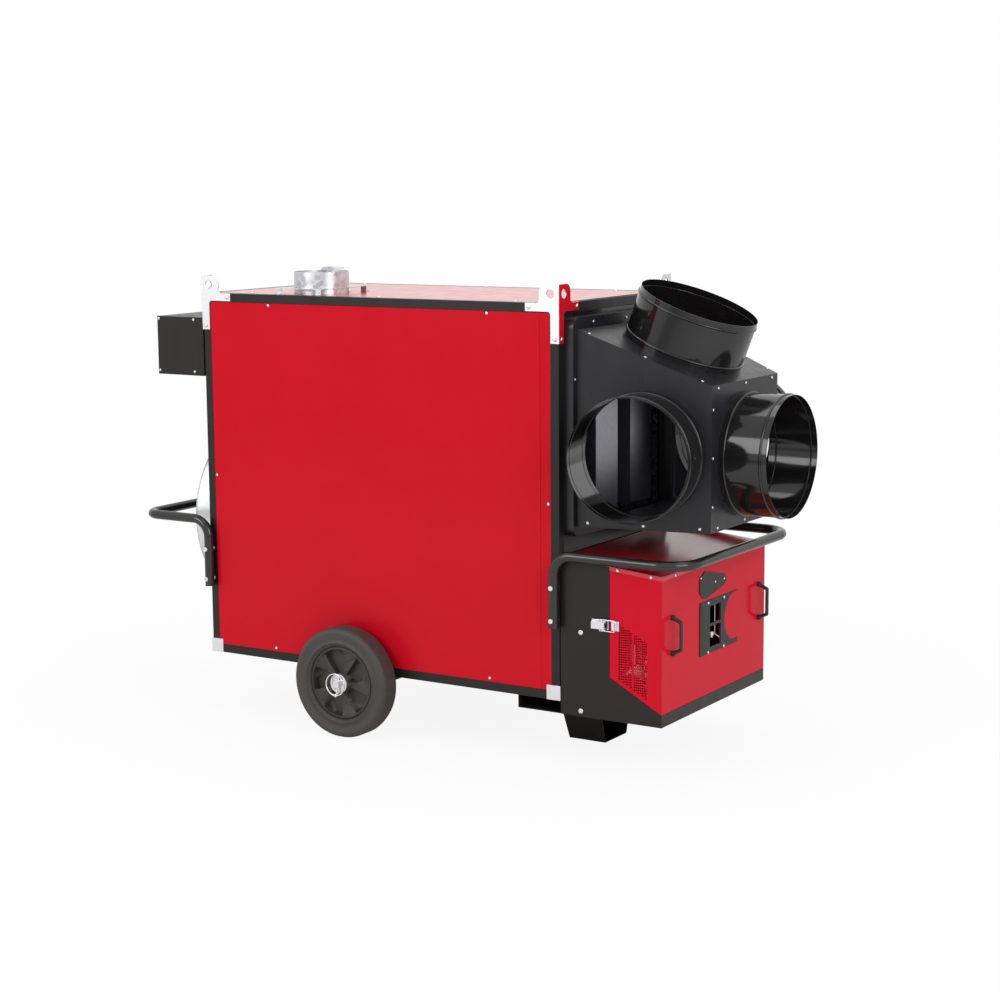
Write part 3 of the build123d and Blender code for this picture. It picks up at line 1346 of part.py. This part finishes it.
NODES = {
    "frame_posts": frame_posts,
    "frame_rails": lambda: frame_long_rails() + frame_cross_rails(),
    "corner_plates": corner_plates,
    "lifting_brackets": lifting_brackets,
    "casing_screws": lambda: bracket_bolts() + panel_screws() + plenum_screws() + box_screws() + base_bolts(),
    "side_panel_near": side_panel,
    "side_panel_far": lambda: far_side(side_panel),
    "top_panel": top_panel,
    "floor_panel": floor_panel,
    "fan_end_panel": fan_end_panel,
    "outlet_end_panel": outlet_end_panel,
    "axle_beam": lambda: [axle_beam()] + axle_hangers(),
    "axle": axle,
    "axle_pins": axle_pins,
    "axle_washers": axle_washers,
    "tyre_near": tyre,
    "tyre_far": lambda: far_side(tyre),
    "wheel_near": wheel_centre,
    "wheel_far": lambda: far_side(wheel_centre),
    "foot_beam": foot_beam,
    "support_foot": support_foot,
    "fan_ring": fan_ring,
    "fan_guard": fan_guard,
    "guard_clips": guard_clips,
    "fan_impeller": fan_impeller,
    "fan_motor": fan_motor,
    "motor_struts": motor_struts,
    "control_box": control_box,
    "control_box_cover": control_box_cover,
    "selector_knob": selector_knob,
    "combustion_chamber": combustion_chamber,
    "chamber_supports": chamber_supports,
    "chamber_riser": chamber_riser,
    "heat_exchanger": heat_exchanger,
    "smoke_box": smoke_box,
    "flue_pipe": flue_pipe,
    "flue_plate": flue_plate,
    "outlet_collar": outlet_collar,
    "plenum": plenum,
    "spigots": spigots,
    "front_handle": front_handle,
    "rear_handle": rear_handle,
    "handle_bolts": handle_bolts,
    "burner_base": burner_base,
    "burner_cover": burner_cover,
    "cover_top": cover_top,
    "cover_grilles": cover_grilles,
    "cover_screws": lambda: cover_screws() + plate_screws(),
    "bow_handles": bow_handles,
    "entry_plates": lambda: [entry_plate(), inlet_bracket()],
    "burner_head": lambda: [burner_head(), burner_fan_housing()],
    "burner_impeller": burner_impeller,
    "burner_motor": burner_motor,
    "gas_train": lambda: [gas_valve(), gas_coupling()] + gas_pipe(),
    "latch_bases": lambda: both_sides(latch_base),
    "latch_lever_near": latch_lever,
    "latch_lever_far": lambda: far_side(latch_lever),
    "latch_loop_near": latch_loop,
    "latch_loop_far": lambda: far_side(latch_loop),
    "latch_keepers": lambda: both_sides(latch_keeper),
}


def export_all():
    os.makedirs("parts", exist_ok=True)
    for name, build in NODES.items():
        made = build()
        solids = made if isinstance(made, list) else [made]
        solids = [Pos(-ORIGIN_X, 0, 0) * s for s in solids]
        shape = solids[0] if len(solids) == 1 else Compound(children=solids)
        export_step(shape, f"parts/{name}.step")


if __name__ == "__main__":
    export_all()
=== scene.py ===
# %% [markdown]
# # A gas-fired hot air generator on two wheels
# The machine is a boxed casing with a fan at one end and a four-way air outlet at the other.
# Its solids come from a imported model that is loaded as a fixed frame. This lesson gives them
# their finishes, and models again the pieces whose look needs more than their solid has.

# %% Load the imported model
import json
import math

import bpy
from mathutils import Matrix, Vector

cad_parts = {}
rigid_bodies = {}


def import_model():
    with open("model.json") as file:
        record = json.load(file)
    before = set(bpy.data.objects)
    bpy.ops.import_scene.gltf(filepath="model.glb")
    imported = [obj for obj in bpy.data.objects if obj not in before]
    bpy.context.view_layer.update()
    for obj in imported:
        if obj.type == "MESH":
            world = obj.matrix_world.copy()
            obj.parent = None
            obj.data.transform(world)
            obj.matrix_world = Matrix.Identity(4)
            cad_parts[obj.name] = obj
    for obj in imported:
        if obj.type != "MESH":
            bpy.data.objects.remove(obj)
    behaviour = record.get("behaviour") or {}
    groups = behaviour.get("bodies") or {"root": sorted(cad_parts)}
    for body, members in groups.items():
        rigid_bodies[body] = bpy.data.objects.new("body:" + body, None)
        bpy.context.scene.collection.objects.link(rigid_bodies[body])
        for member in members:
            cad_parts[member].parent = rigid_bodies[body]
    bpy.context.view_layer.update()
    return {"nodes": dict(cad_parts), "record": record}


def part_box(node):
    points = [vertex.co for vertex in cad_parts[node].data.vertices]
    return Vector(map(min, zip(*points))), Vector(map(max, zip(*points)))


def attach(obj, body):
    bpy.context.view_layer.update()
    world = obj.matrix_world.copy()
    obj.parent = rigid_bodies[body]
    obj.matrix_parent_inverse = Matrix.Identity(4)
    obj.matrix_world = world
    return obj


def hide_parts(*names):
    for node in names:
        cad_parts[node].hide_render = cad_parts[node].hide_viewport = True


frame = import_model()
nodes = frame["nodes"]
print("pieces in the frame:", len(nodes))

# %% [markdown]
# ## Small helpers
# An operator works on everything that is selected, so each step starts by clearing the selection.
# A node tree is easier to read when each node is made with its inputs in one call.

# %% Selection and node helpers


def select_only(*pieces):
    """Leaves object mode with just these pieces selected, the last one active."""
    if bpy.context.mode != "OBJECT":
        bpy.ops.object.mode_set(mode="OBJECT")
    bpy.ops.object.select_all(action="DESELECT")
    for piece in pieces:
        piece.select_set(True)
        bpy.context.view_layer.objects.active = piece


def add_node(material, kind, **inputs):
    """Adds a shader node and sets its plain inputs; a socket given as a value is linked."""
    node = material.node_tree.nodes.new(kind)
    for name, value in inputs.items():
        socket = node.inputs[name.replace("_", " ")]
        if isinstance(value, bpy.types.NodeSocket):
            material.node_tree.links.new(value, socket)
        else:
            socket.default_value = value
    return node


def new_finish(name, colour, roughness, metallic=0.0, specular=0.5):
    """A material with the Principled shader, its constants set on the shader itself."""
    material = bpy.data.materials.new(name)
    material.use_nodes = True
    shader = material.node_tree.nodes["Principled BSDF"]
    shader.inputs["Base Color"].default_value = (*colour, 1)
    shader.inputs["Roughness"].default_value = roughness
    shader.inputs["Metallic"].default_value = metallic
    shader.inputs["Specular IOR Level"].default_value = specular
    return material, shader


def object_noise(material, scale, detail=2.0, stretch=(1, 1, 1)):
    """Noise that stays fixed to the piece, at so many waves a metre."""
    place = add_node(material, "ShaderNodeTexCoord")
    mapping = add_node(material, "ShaderNodeMapping", Vector=place.outputs["Object"], Scale=stretch)
    return add_node(material, "ShaderNodeTexNoise", Vector=mapping.outputs["Vector"], Scale=scale, Detail=detail)


def spread(material, value, low, high):
    """Turns a 0 to 1 value into one between low and high."""
    node = add_node(material, "ShaderNodeMapRange", Value=value)
    node.inputs["From Min"].default_value = 0.3
    node.inputs["From Max"].default_value = 0.7
    node.inputs["To Min"].default_value = low
    node.inputs["To Max"].default_value = high
    return node.outputs["Result"]


def tint(material, factor, first, second):
    """Mixes two colours by a factor socket."""
    mix = material.node_tree.nodes.new("ShaderNodeMix")
    mix.data_type = "RGBA"
    material.node_tree.links.new(factor, mix.inputs[0])
    mix.inputs[6].default_value = (*first, 1)
    mix.inputs[7].default_value = (*second, 1)
    return mix.outputs[2]


def bump(material, shader, height, distance, strength=1.0):
    """Raises the surface by a height socket, over a real distance in metres."""
    node = add_node(material, "ShaderNodeBump", Height=height, Distance=distance, Strength=strength)
    material.node_tree.links.new(node.outputs["Normal"], shader.inputs["Normal"])


def link(material, output, socket):
    material.node_tree.links.new(output, socket)


# %% [markdown]
# ## Powder coat
# The casing is sheet steel with a baked powder coat. Powder melts into a skin with a faint ripple
# called orange peel. A noise of about three millimetres drives the bump, and a wide soft noise
# changes the gloss a little, as handling and dust do.

# %% Powder coats


def powder_coat(name, colour, darker, roughness, specular, peel=1.0):
    """Baked powder coat: slight colour drift, orange-peel bump and uneven gloss."""
    material, shader = new_finish(name, colour, roughness, specular=specular)
    drift = object_noise(material, 3.0, 3.0)
    link(material, tint(material, drift.outputs["Fac"], darker, colour), shader.inputs["Base Color"])
    rub = object_noise(material, 22.0, 5.0, (1, 1, 0.35))
    link(material, spread(material, rub.outputs["Fac"], roughness * 0.85, roughness * 1.2), shader.inputs["Roughness"])
    ripple = object_noise(material, 330.0, 1.0)
    bump(material, shader, ripple.outputs["Fac"], 0.00006 * peel)
    return material


RED = (0.58, 0.005, 0.017)
RED_DEEP = (0.52, 0.004, 0.014)
red_coat = powder_coat("red_coat", RED, RED_DEEP, 0.22, 0.10)
top_red = powder_coat("top_red", RED, RED_DEEP, 0.16, 0.7, 0.5)
cover_red = powder_coat("cover_red", (0.60, 0.006, 0.022), (0.55, 0.005, 0.019), 0.18, 0.08, 0.5)
black_coat = powder_coat("black_coat", (0.014, 0.012, 0.011), (0.010, 0.009, 0.008), 0.36, 0.28, 1.5)
plenum_coat = powder_coat("plenum_coat", (0.015, 0.014, 0.017), (0.011, 0.011, 0.013), 0.30, 0.4)
gloss_black = powder_coat("gloss_black", (0.010, 0.009, 0.009), (0.007, 0.006, 0.006), 0.10, 0.5, 0.4)
tube_coat = powder_coat("tube_coat", (0.018, 0.016, 0.015), (0.013, 0.012, 0.011), 0.16, 0.5, 0.4)
print("powder coats made")

# %% [markdown]
# ## Zinc
# Hot-dip galvanised sheet shows its zinc crystals, called spangle, as patches of different grey.
# A Voronoi texture gives each cell its own shade. Small fasteners have bright, even zinc plate.

# %% Metals


def spangled_zinc(name, light, dark, cell):
    """Galvanised sheet with crystal patches."""
    material, shader = new_finish(name, light, 0.32, metallic=0.85)
    place = add_node(material, "ShaderNodeTexCoord")
    crystals = add_node(material, "ShaderNodeTexVoronoi", Vector=place.outputs["Object"], Scale=1 / cell)
    grey = add_node(material, "ShaderNodeRGBToBW", Color=crystals.outputs["Color"])
    link(material, tint(material, grey.outputs["Val"], dark, light), shader.inputs["Base Color"])
    link(material, spread(material, grey.outputs["Val"], 0.26, 0.42), shader.inputs["Roughness"])
    bump(material, shader, grey.outputs["Val"], 0.00005)
    return material


def brushed_metal(name, colour, darker, roughness, metallic=1.0, scale=60.0):
    """Rolled or plated metal with fine streaks and faint stains."""
    material, shader = new_finish(name, colour, roughness, metallic=metallic)
    stain = object_noise(material, scale, 4.0)
    link(material, tint(material, stain.outputs["Fac"], darker, colour), shader.inputs["Base Color"])
    streak = object_noise(material, 90.0, 2.0, (1, 1, 14))
    link(material, spread(material, streak.outputs["Fac"], roughness * 0.8, roughness * 1.3), shader.inputs["Roughness"])
    bump(material, shader, streak.outputs["Fac"], 0.00002)
    return material


galvanised = spangled_zinc("galvanised", (0.46, 0.47, 0.50), (0.22, 0.23, 0.26), 0.014)
flue_zinc = spangled_zinc("flue_zinc", (0.70, 0.71, 0.73), (0.52, 0.53, 0.56), 0.018)
bright_zinc = brushed_metal("bright_zinc", (0.80, 0.80, 0.82), (0.62, 0.62, 0.64), 0.24)
pocket_steel = brushed_metal("pocket_steel", (0.46, 0.46, 0.50), (0.33, 0.33, 0.37), 0.36)
cast_metal = brushed_metal("cast_metal", (0.42, 0.43, 0.44), (0.30, 0.31, 0.32), 0.5, 0.8, 140.0)

# %% [markdown]
# ## Rubber and moulded plastic
# The tyres are solid rubber, matt and a little dusty. The wheel centres are moulded plastic with a
# fine spark-eroded grain.

# %% Rubber and plastic


def moulded(name, colour, darker, roughness, grain, depth):
    """Rubber or plastic with a fine grain and a dusty drift."""
    material, shader = new_finish(name, colour, roughness, specular=0.4)
    dust = object_noise(material, 14.0, 5.0)
    link(material, tint(material, dust.outputs["Fac"], darker, colour), shader.inputs["Base Color"])
    link(material, spread(material, dust.outputs["Fac"], roughness * 0.9, roughness * 1.15), shader.inputs["Roughness"])
    texture = object_noise(material, grain, 2.0)
    bump(material, shader, texture.outputs["Fac"], depth)
    return material


tyre_rubber = moulded("tyre_rubber", (0.060, 0.056, 0.052), (0.040, 0.037, 0.034), 0.55, 420.0, 0.00008)
wheel_plastic = moulded("wheel_plastic", (0.050, 0.047, 0.044), (0.032, 0.030, 0.028), 0.5, 600.0, 0.00006)
grip_plastic = moulded("grip_plastic", (0.030, 0.028, 0.027), (0.020, 0.019, 0.018), 0.38, 700.0, 0.00004)

# %% [markdown]
# ## Dressing the solids
# Most pieces are simple sheet-metal shapes that the solids already have, so each only needs its
# finish. A lookup from finish to piece names keeps this readable.

# %% Finish of every carried-over piece

FINISHES = {
    "black_coat": (
        "frame_posts", "frame_rails", "floor_panel", "foot_beam", "axle_beam", "support_foot",
        "fan_end_panel", "control_box", "control_box_cover", "burner_base", "entry_plates",
        "motor_struts", "guard_clips",
    ),
    "red_coat": ("side_panel_near", "side_panel_far"),
    "top_red": ("top_panel", "cover_top"),
    "cover_red": ("burner_cover", "cover_grilles"),
    "plenum_coat": ("plenum", "outlet_collar"),
    "gloss_black": ("spigots", "outlet_end_panel"),
    "tube_coat": ("front_handle", "rear_handle", "fan_guard"),
    "galvanised": ("corner_plates", "lifting_brackets", "fan_ring", "chamber_supports"),
    "flue_zinc": ("flue_pipe", "flue_plate"),
    "bright_zinc": (
        "casing_screws", "axle_pins", "axle_washers", "handle_bolts", "cover_screws", "latch_bases",
        "latch_lever_near", "latch_lever_far", "latch_loop_near", "latch_loop_far", "latch_keepers",
        "axle", "gas_train",
    ),
    "pocket_steel": ("combustion_chamber", "heat_exchanger", "smoke_box", "chamber_riser"),
    "cast_metal": ("fan_motor", "burner_motor", "burner_head", "fan_impeller", "burner_impeller"),
    "tyre_rubber": ("tyre_near", "tyre_far"),
    "wheel_plastic": ("wheel_near", "wheel_far"),
    "grip_plastic": ("bow_handles", "selector_knob"),
}


def give_finish(piece, material):
    piece.data.materials.clear()
    piece.data.materials.append(material)


for finish, members in FINISHES.items():
    for member in members:
        give_finish(nodes[member], bpy.data.materials[finish])
print("finishes given:", sum(len(members) for members in FINISHES.values()))

# %% [markdown]
# ## Softened copies
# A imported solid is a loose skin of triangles, so its round parts look faceted and its edges are
# razor sharp. Real sheet and castings have a small radius that catches the light. Each piece that
# shows is copied, its doubled corners are merged, flat triangles are dissolved into whole faces,
# and a small bevel is applied. The copy then stands in for the solid and rides on the same body.

# %% A softened copy of a solid

SMOOTH_BELOW = 32

def softened(name, edge=0.0, corner=40, shape=None):
    """Copies a solid, merges its skin, shapes it further, rounds its sharp edges and smooths it."""
    node = nodes[name]
    piece = bpy.data.objects.new(name + "_finished", node.data.copy())
    bpy.context.scene.collection.objects.link(piece)
    select_only(piece)
    bpy.ops.object.mode_set(mode="EDIT")
    bpy.ops.mesh.select_all(action="SELECT")
    bpy.ops.mesh.remove_doubles(threshold=0.00001)
    if edge:
        bpy.ops.mesh.dissolve_limited(angle_limit=math.radians(0.4))
    bpy.ops.object.mode_set(mode="OBJECT")
    if shape:
        shape(piece)
    if edge:
        bevel = piece.modifiers.new("edge", "BEVEL")
        bevel.width = edge
        bevel.segments = 2
        bevel.limit_method = "ANGLE"
        bevel.angle_limit = math.radians(corner)
        bevel.harden_normals = False
        bpy.ops.object.modifier_apply(modifier=bevel.name)
    bpy.ops.object.shade_smooth_by_angle(angle=math.radians(SMOOTH_BELOW))
    weighted = piece.modifiers.new("flat faces first", "WEIGHTED_NORMAL")
    weighted.mode = "FACE_AREA"
    weighted.weight = 100
    weighted.keep_sharp = True
    bpy.ops.object.modifier_apply(modifier=weighted.name)
    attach(piece, node.parent.name.split(":")[1])
    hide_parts(name)
    return piece


EDGES = {
    0.0: (
        "tyre_near", "tyre_far", "wheel_near", "wheel_far", "fan_guard", "front_handle", "rear_handle",
        "flue_pipe", "fan_ring", "bow_handles", "axle_pins", "axle_washers", "fan_impeller",
        "selector_knob", "plenum", "gas_train", "burner_head", "latch_loop_near", "latch_loop_far",
        "cover_grilles", "casing_screws", "cover_screws", "handle_bolts",
    ),
    0.0005: (
        "frame_posts", "frame_rails", "corner_plates", "lifting_brackets", "top_panel", "outlet_end_panel",
        "fan_end_panel", "axle_beam", "foot_beam", "support_foot", "burner_base", "burner_cover",
        "cover_top", "entry_plates", "outlet_collar", "flue_plate", "latch_bases",
        "latch_lever_near", "latch_lever_far", "latch_keepers",
    ),
    0.0012: ("control_box", "control_box_cover"),
}
finished = {}
for edge, members in EDGES.items():
    for member in members:
        finished[member] = softened(member, edge)
print("softened pieces:", len(finished))

# %% [markdown]
# ## Side panels
# Each side panel is a red sheet over insulation, with a zinc liner behind it and a shallow pressed
# groove near its outlet end. The copy is cut by two bisect planes, and the strip of outer face
# between them is pushed in. The faces that look into the casing get the zinc finish.

# %% Side panels with a pressed groove and a zinc liner

GROOVE_IN = 0.040
GROOVE_W = 0.012
GROOVE_DEPTH = 0.0012


def press_groove(panel, start, outward):
    """Pushes in a strip of the outer face; outward is the sign of Y that faces away from the casing."""
    select_only(panel)
    bpy.ops.object.mode_set(mode="EDIT")
    for x in (start, start + GROOVE_W):
        bpy.ops.mesh.select_all(action="SELECT")
        bpy.ops.mesh.bisect(plane_co=(x, 0, 0), plane_no=(1, 0, 0))
    bpy.ops.mesh.select_all(action="DESELECT")
    bpy.ops.object.mode_set(mode="OBJECT")
    face_y = max(outward * vertex.co.y for vertex in panel.data.vertices)
    for face in panel.data.polygons:
        in_strip = start < face.center.x < start + GROOVE_W
        on_skin = face.normal.y * outward > 0.9 and outward * face.center.y > face_y - 0.002
        face.select = in_strip and on_skin
    bpy.ops.object.mode_set(mode="EDIT")
    bpy.ops.mesh.extrude_region_move(TRANSFORM_OT_translate={"value": (0, -outward * GROOVE_DEPTH, 0)})
    bpy.ops.object.mode_set(mode="OBJECT")


def pressed_panel(name, outward):
    """A side panel with its groove, and zinc on the faces that look into the casing."""
    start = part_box(name)[1][0] - GROOVE_IN
    panel = softened(name, shape=lambda piece: press_groove(piece, start, outward))
    panel.data.materials.append(galvanised)
    for face in panel.data.polygons:
        if face.normal.y * outward < -0.5:
            face.material_index = 1
    return panel


finished["side_panel_near"] = pressed_panel("side_panel_near", -1)
finished["side_panel_far"] = pressed_panel("side_panel_far", 1)
print("groove pressed", GROOVE_DEPTH * 1000, "mm deep")

# %% [markdown]
# ## Outlet stubs
# The four stubs are rolled steel tubes with one bead behind the hose's landing and another near the
# root. A stub could be a spun outline. Here a circle is extruded ring by ring, and each ring is
# resized, as on a beading machine, because the clean bands of faces shine without flat spots.

# %% Rings of a stub

STUB_WALL = 0.0015
BEAD = 0.0042
BEAD_STEPS = 6
STUB_REACH = 0.174
ROOT_BEAD = 0.144
stub_places = [mount for mount in frame["record"]["mounts"] if mount["name"].startswith("duct_")]
stub_radius = stub_places[0]["dims"]["r_mm"] / 1000
hose_landing = stub_places[0]["dims"]["length_mm"] / 1000


def stub_rings():
    """Depth below the rim and radius of each ring, rim to root."""
    rings = []
    for start in (hose_landing, ROOT_BEAD):
        for step in range(BEAD_STEPS + 1):
            turn = math.pi * step / BEAD_STEPS
            rings.append((start + BEAD * (1 - math.cos(turn)), stub_radius + BEAD * math.sin(turn)))
    rings.append((STUB_REACH, stub_radius))
    return rings


print("rings of a stub:", len(stub_rings()))

# %% Stubs put in place


def outlet_stub(place):
    """One beaded stub, built upright and then turned onto its opening."""
    select_only()
    bpy.ops.mesh.primitive_circle_add(vertices=144, radius=stub_radius)
    stub = bpy.context.object
    bpy.ops.object.mode_set(mode="EDIT")
    bpy.ops.mesh.select_all(action="SELECT")
    depth, radius = 0.0, stub_radius
    for next_depth, next_radius in stub_rings():
        step = depth - next_depth
        bpy.ops.mesh.extrude_edges_move(TRANSFORM_OT_translate={"value": (0, 0, step)})
        growth = next_radius / radius
        bpy.ops.transform.resize(value=(growth, growth, 1), center_override=(0, 0, -next_depth))
        depth, radius = next_depth, next_radius
    bpy.ops.mesh.select_all(action="SELECT")
    bpy.ops.mesh.normals_make_consistent(inside=False)
    bpy.ops.object.mode_set(mode="OBJECT")
    wall = stub.modifiers.new("wall", "SOLIDIFY")
    wall.thickness = STUB_WALL
    wall.offset = -1
    bpy.ops.object.modifier_apply(modifier=wall.name)
    axis = Vector(place["axis"])
    rim = Vector(place["pos_m"]) + axis * hose_landing / 2
    stub.matrix_world = Matrix.Translation(rim) @ axis.to_track_quat("Z", "Y").to_matrix().to_4x4()
    bpy.ops.object.transform_apply(location=True, rotation=True, scale=True)
    bpy.ops.object.shade_smooth_by_angle(angle=math.radians(50))
    return stub


stubs = [outlet_stub(place) for place in stub_places]
select_only(*stubs)
bpy.ops.object.join()
outlet_stubs = bpy.context.object
outlet_stubs.name = "outlet_stubs"
give_finish(outlet_stubs, gloss_black)
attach(outlet_stubs, nodes["spigots"].parent.name.split(":")[1])
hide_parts("spigots")
print("stubs made:", len(stubs))

# %% [markdown]
# ## Red wing of the outlet bracket
# The end wing of the lifting bracket beside the outlet gets the red finish of the casing.
# Its faces are picked by where they lie and by where they point.

# %% Red faces of the end wing

brackets = finished["lifting_brackets"]
wing_low, wing_high = (Vector(corner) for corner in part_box("lifting_brackets"))
brackets.data.materials.append(red_coat)
reddened = 0
# The end-wing faces that point to the outlet end are given the red finish; the rest of the bracket keeps its zinc.
for face in brackets.data.polygons:
    near_end = face.center.x > wing_high.x - 0.001 and face.center.y < 0
    if near_end and face.normal.x > 0.5:
        face.material_index = 1
        reddened += 1
print("painted faces:", reddened)

# %% [markdown]
# ## Light, floor and camera
# A pale even room shows painted sheet steel best: a soft world light, one large lamp on each side of
# the camera and a white floor. The camera stands where the photographer stood.

# %% World and floor

world = bpy.data.worlds.new("studio")
bpy.context.scene.world = world
world.use_nodes = True
tree = world.node_tree
background = tree.nodes["Background"]
ROOM_LIGHT = 0.58
rays = tree.nodes.new("ShaderNodeLightPath")
seen = tree.nodes.new("ShaderNodeMath")
seen.operation = "MAXIMUM"
tree.links.new(rays.outputs["Is Camera Ray"], seen.inputs[0])
mirrored = tree.nodes.new("ShaderNodeMath")
mirrored.operation = "MAXIMUM"
tree.links.new(rays.outputs["Is Glossy Ray"], mirrored.inputs[0])
tree.links.new(rays.outputs["Is Transmission Ray"], mirrored.inputs[1])
tree.links.new(mirrored.outputs[0], seen.inputs[1])
level = tree.nodes.new("ShaderNodeMapRange")
tree.links.new(seen.outputs[0], level.inputs["Value"])
level.inputs["To Min"].default_value = ROOM_LIGHT
level.inputs["To Max"].default_value = 1.0
tree.links.new(level.outputs["Result"], background.inputs["Strength"])
background.inputs["Color"].default_value = (1, 1, 1, 1)

select_only()
FLOOR_SIZE = 40
SHADOW_REACH = 1.6
bpy.ops.mesh.primitive_plane_add(size=FLOOR_SIZE)
floor = bpy.context.object
floor.name = "floor"
floor_paint, floor_shader = new_finish("floor_paint", (0.92, 0.92, 0.92), 0.8, specular=0.1)
floor_rays = add_node(floor_paint, "ShaderNodeLightPath")
glow = add_node(floor_paint, "ShaderNodeEmission", Color=(1, 1, 1, 1), Strength=1.0)
share = add_node(floor_paint, "ShaderNodeMath")
share.operation = "MULTIPLY"
link(floor_paint, floor_rays.outputs["Is Camera Ray"], share.inputs[0])
floor_place = add_node(floor_paint, "ShaderNodeTexCoord")
distance = add_node(floor_paint, "ShaderNodeVectorMath", Vector=floor_place.outputs["Object"])
distance.operation = "LENGTH"
fade = add_node(floor_paint, "ShaderNodeMapRange", Value=distance.outputs["Value"])
fade.inputs["From Min"].default_value = SHADOW_REACH
fade.inputs["From Max"].default_value = 2 * SHADOW_REACH
fade.inputs["To Min"].default_value = 0.9
fade.inputs["To Max"].default_value = 1.0
link(floor_paint, fade.outputs["Result"], share.inputs[1])
blend = floor_paint.node_tree.nodes.new("ShaderNodeMixShader")
link(floor_paint, share.outputs[0], blend.inputs[0])
link(floor_paint, floor_shader.outputs["BSDF"], blend.inputs[1])
link(floor_paint, glow.outputs["Emission"], blend.inputs[2])
link(floor_paint, blend.outputs["Shader"], floor_paint.node_tree.nodes["Material Output"].inputs["Surface"])
give_finish(floor, floor_paint)

# %% Lamps


def soft_lamp(name, place, target, size, power):
    """A square lamp that faces a target point."""
    data = bpy.data.lights.new(name, "AREA")
    data.shape = "SQUARE"
    data.size = size
    data.energy = power
    lamp = bpy.data.objects.new(name, data)
    lamp.location = place
    lamp.rotation_euler = (Vector(target) - Vector(place)).to_track_quat("-Z", "Y").to_euler()
    bpy.context.scene.collection.objects.link(lamp)
    return lamp


middle = (0, 0, 0.75)
soft_lamp("left_lamp", (-2.6, -5.2, 3.4), middle, 3.0, 125)
soft_lamp("right_lamp", (5.4, -2.2, 3.0), middle, 3.0, 115)
soft_lamp("top_lamp", (0.4, 0.6, 5.4), middle, 3.5, 80)

# %% Camera

FOCAL_WIDTHS = 2.1177
SENSOR = 36.0
AZIMUTH, ELEVATION, ROLL = 0.5606, 0.15461, -0.00783
back = Vector((
    math.sin(AZIMUTH) * math.cos(ELEVATION),
    -math.cos(AZIMUTH) * math.cos(ELEVATION),
    math.sin(ELEVATION),
))
right = (-back).cross(Vector((0, 0, 1))).normalized()
up = right.cross(-back)
turned_right = right * math.cos(ROLL) + up * math.sin(ROLL)
turned_up = up * math.cos(ROLL) - right * math.sin(ROLL)
lens = bpy.data.cameras.new("camera")
lens.sensor_width = SENSOR
lens.lens = SENSOR * FOCAL_WIDTHS
camera = bpy.data.objects.new("camera", lens)
camera.matrix_world = Matrix.Translation((3.9940, -6.2129, 1.9379)) @ Matrix(
    (turned_right, turned_up, back)
).transposed().to_4x4()
bpy.context.scene.collection.objects.link(camera)
bpy.context.scene.camera = camera
bpy.context.scene.view_settings.view_transform = "Standard"
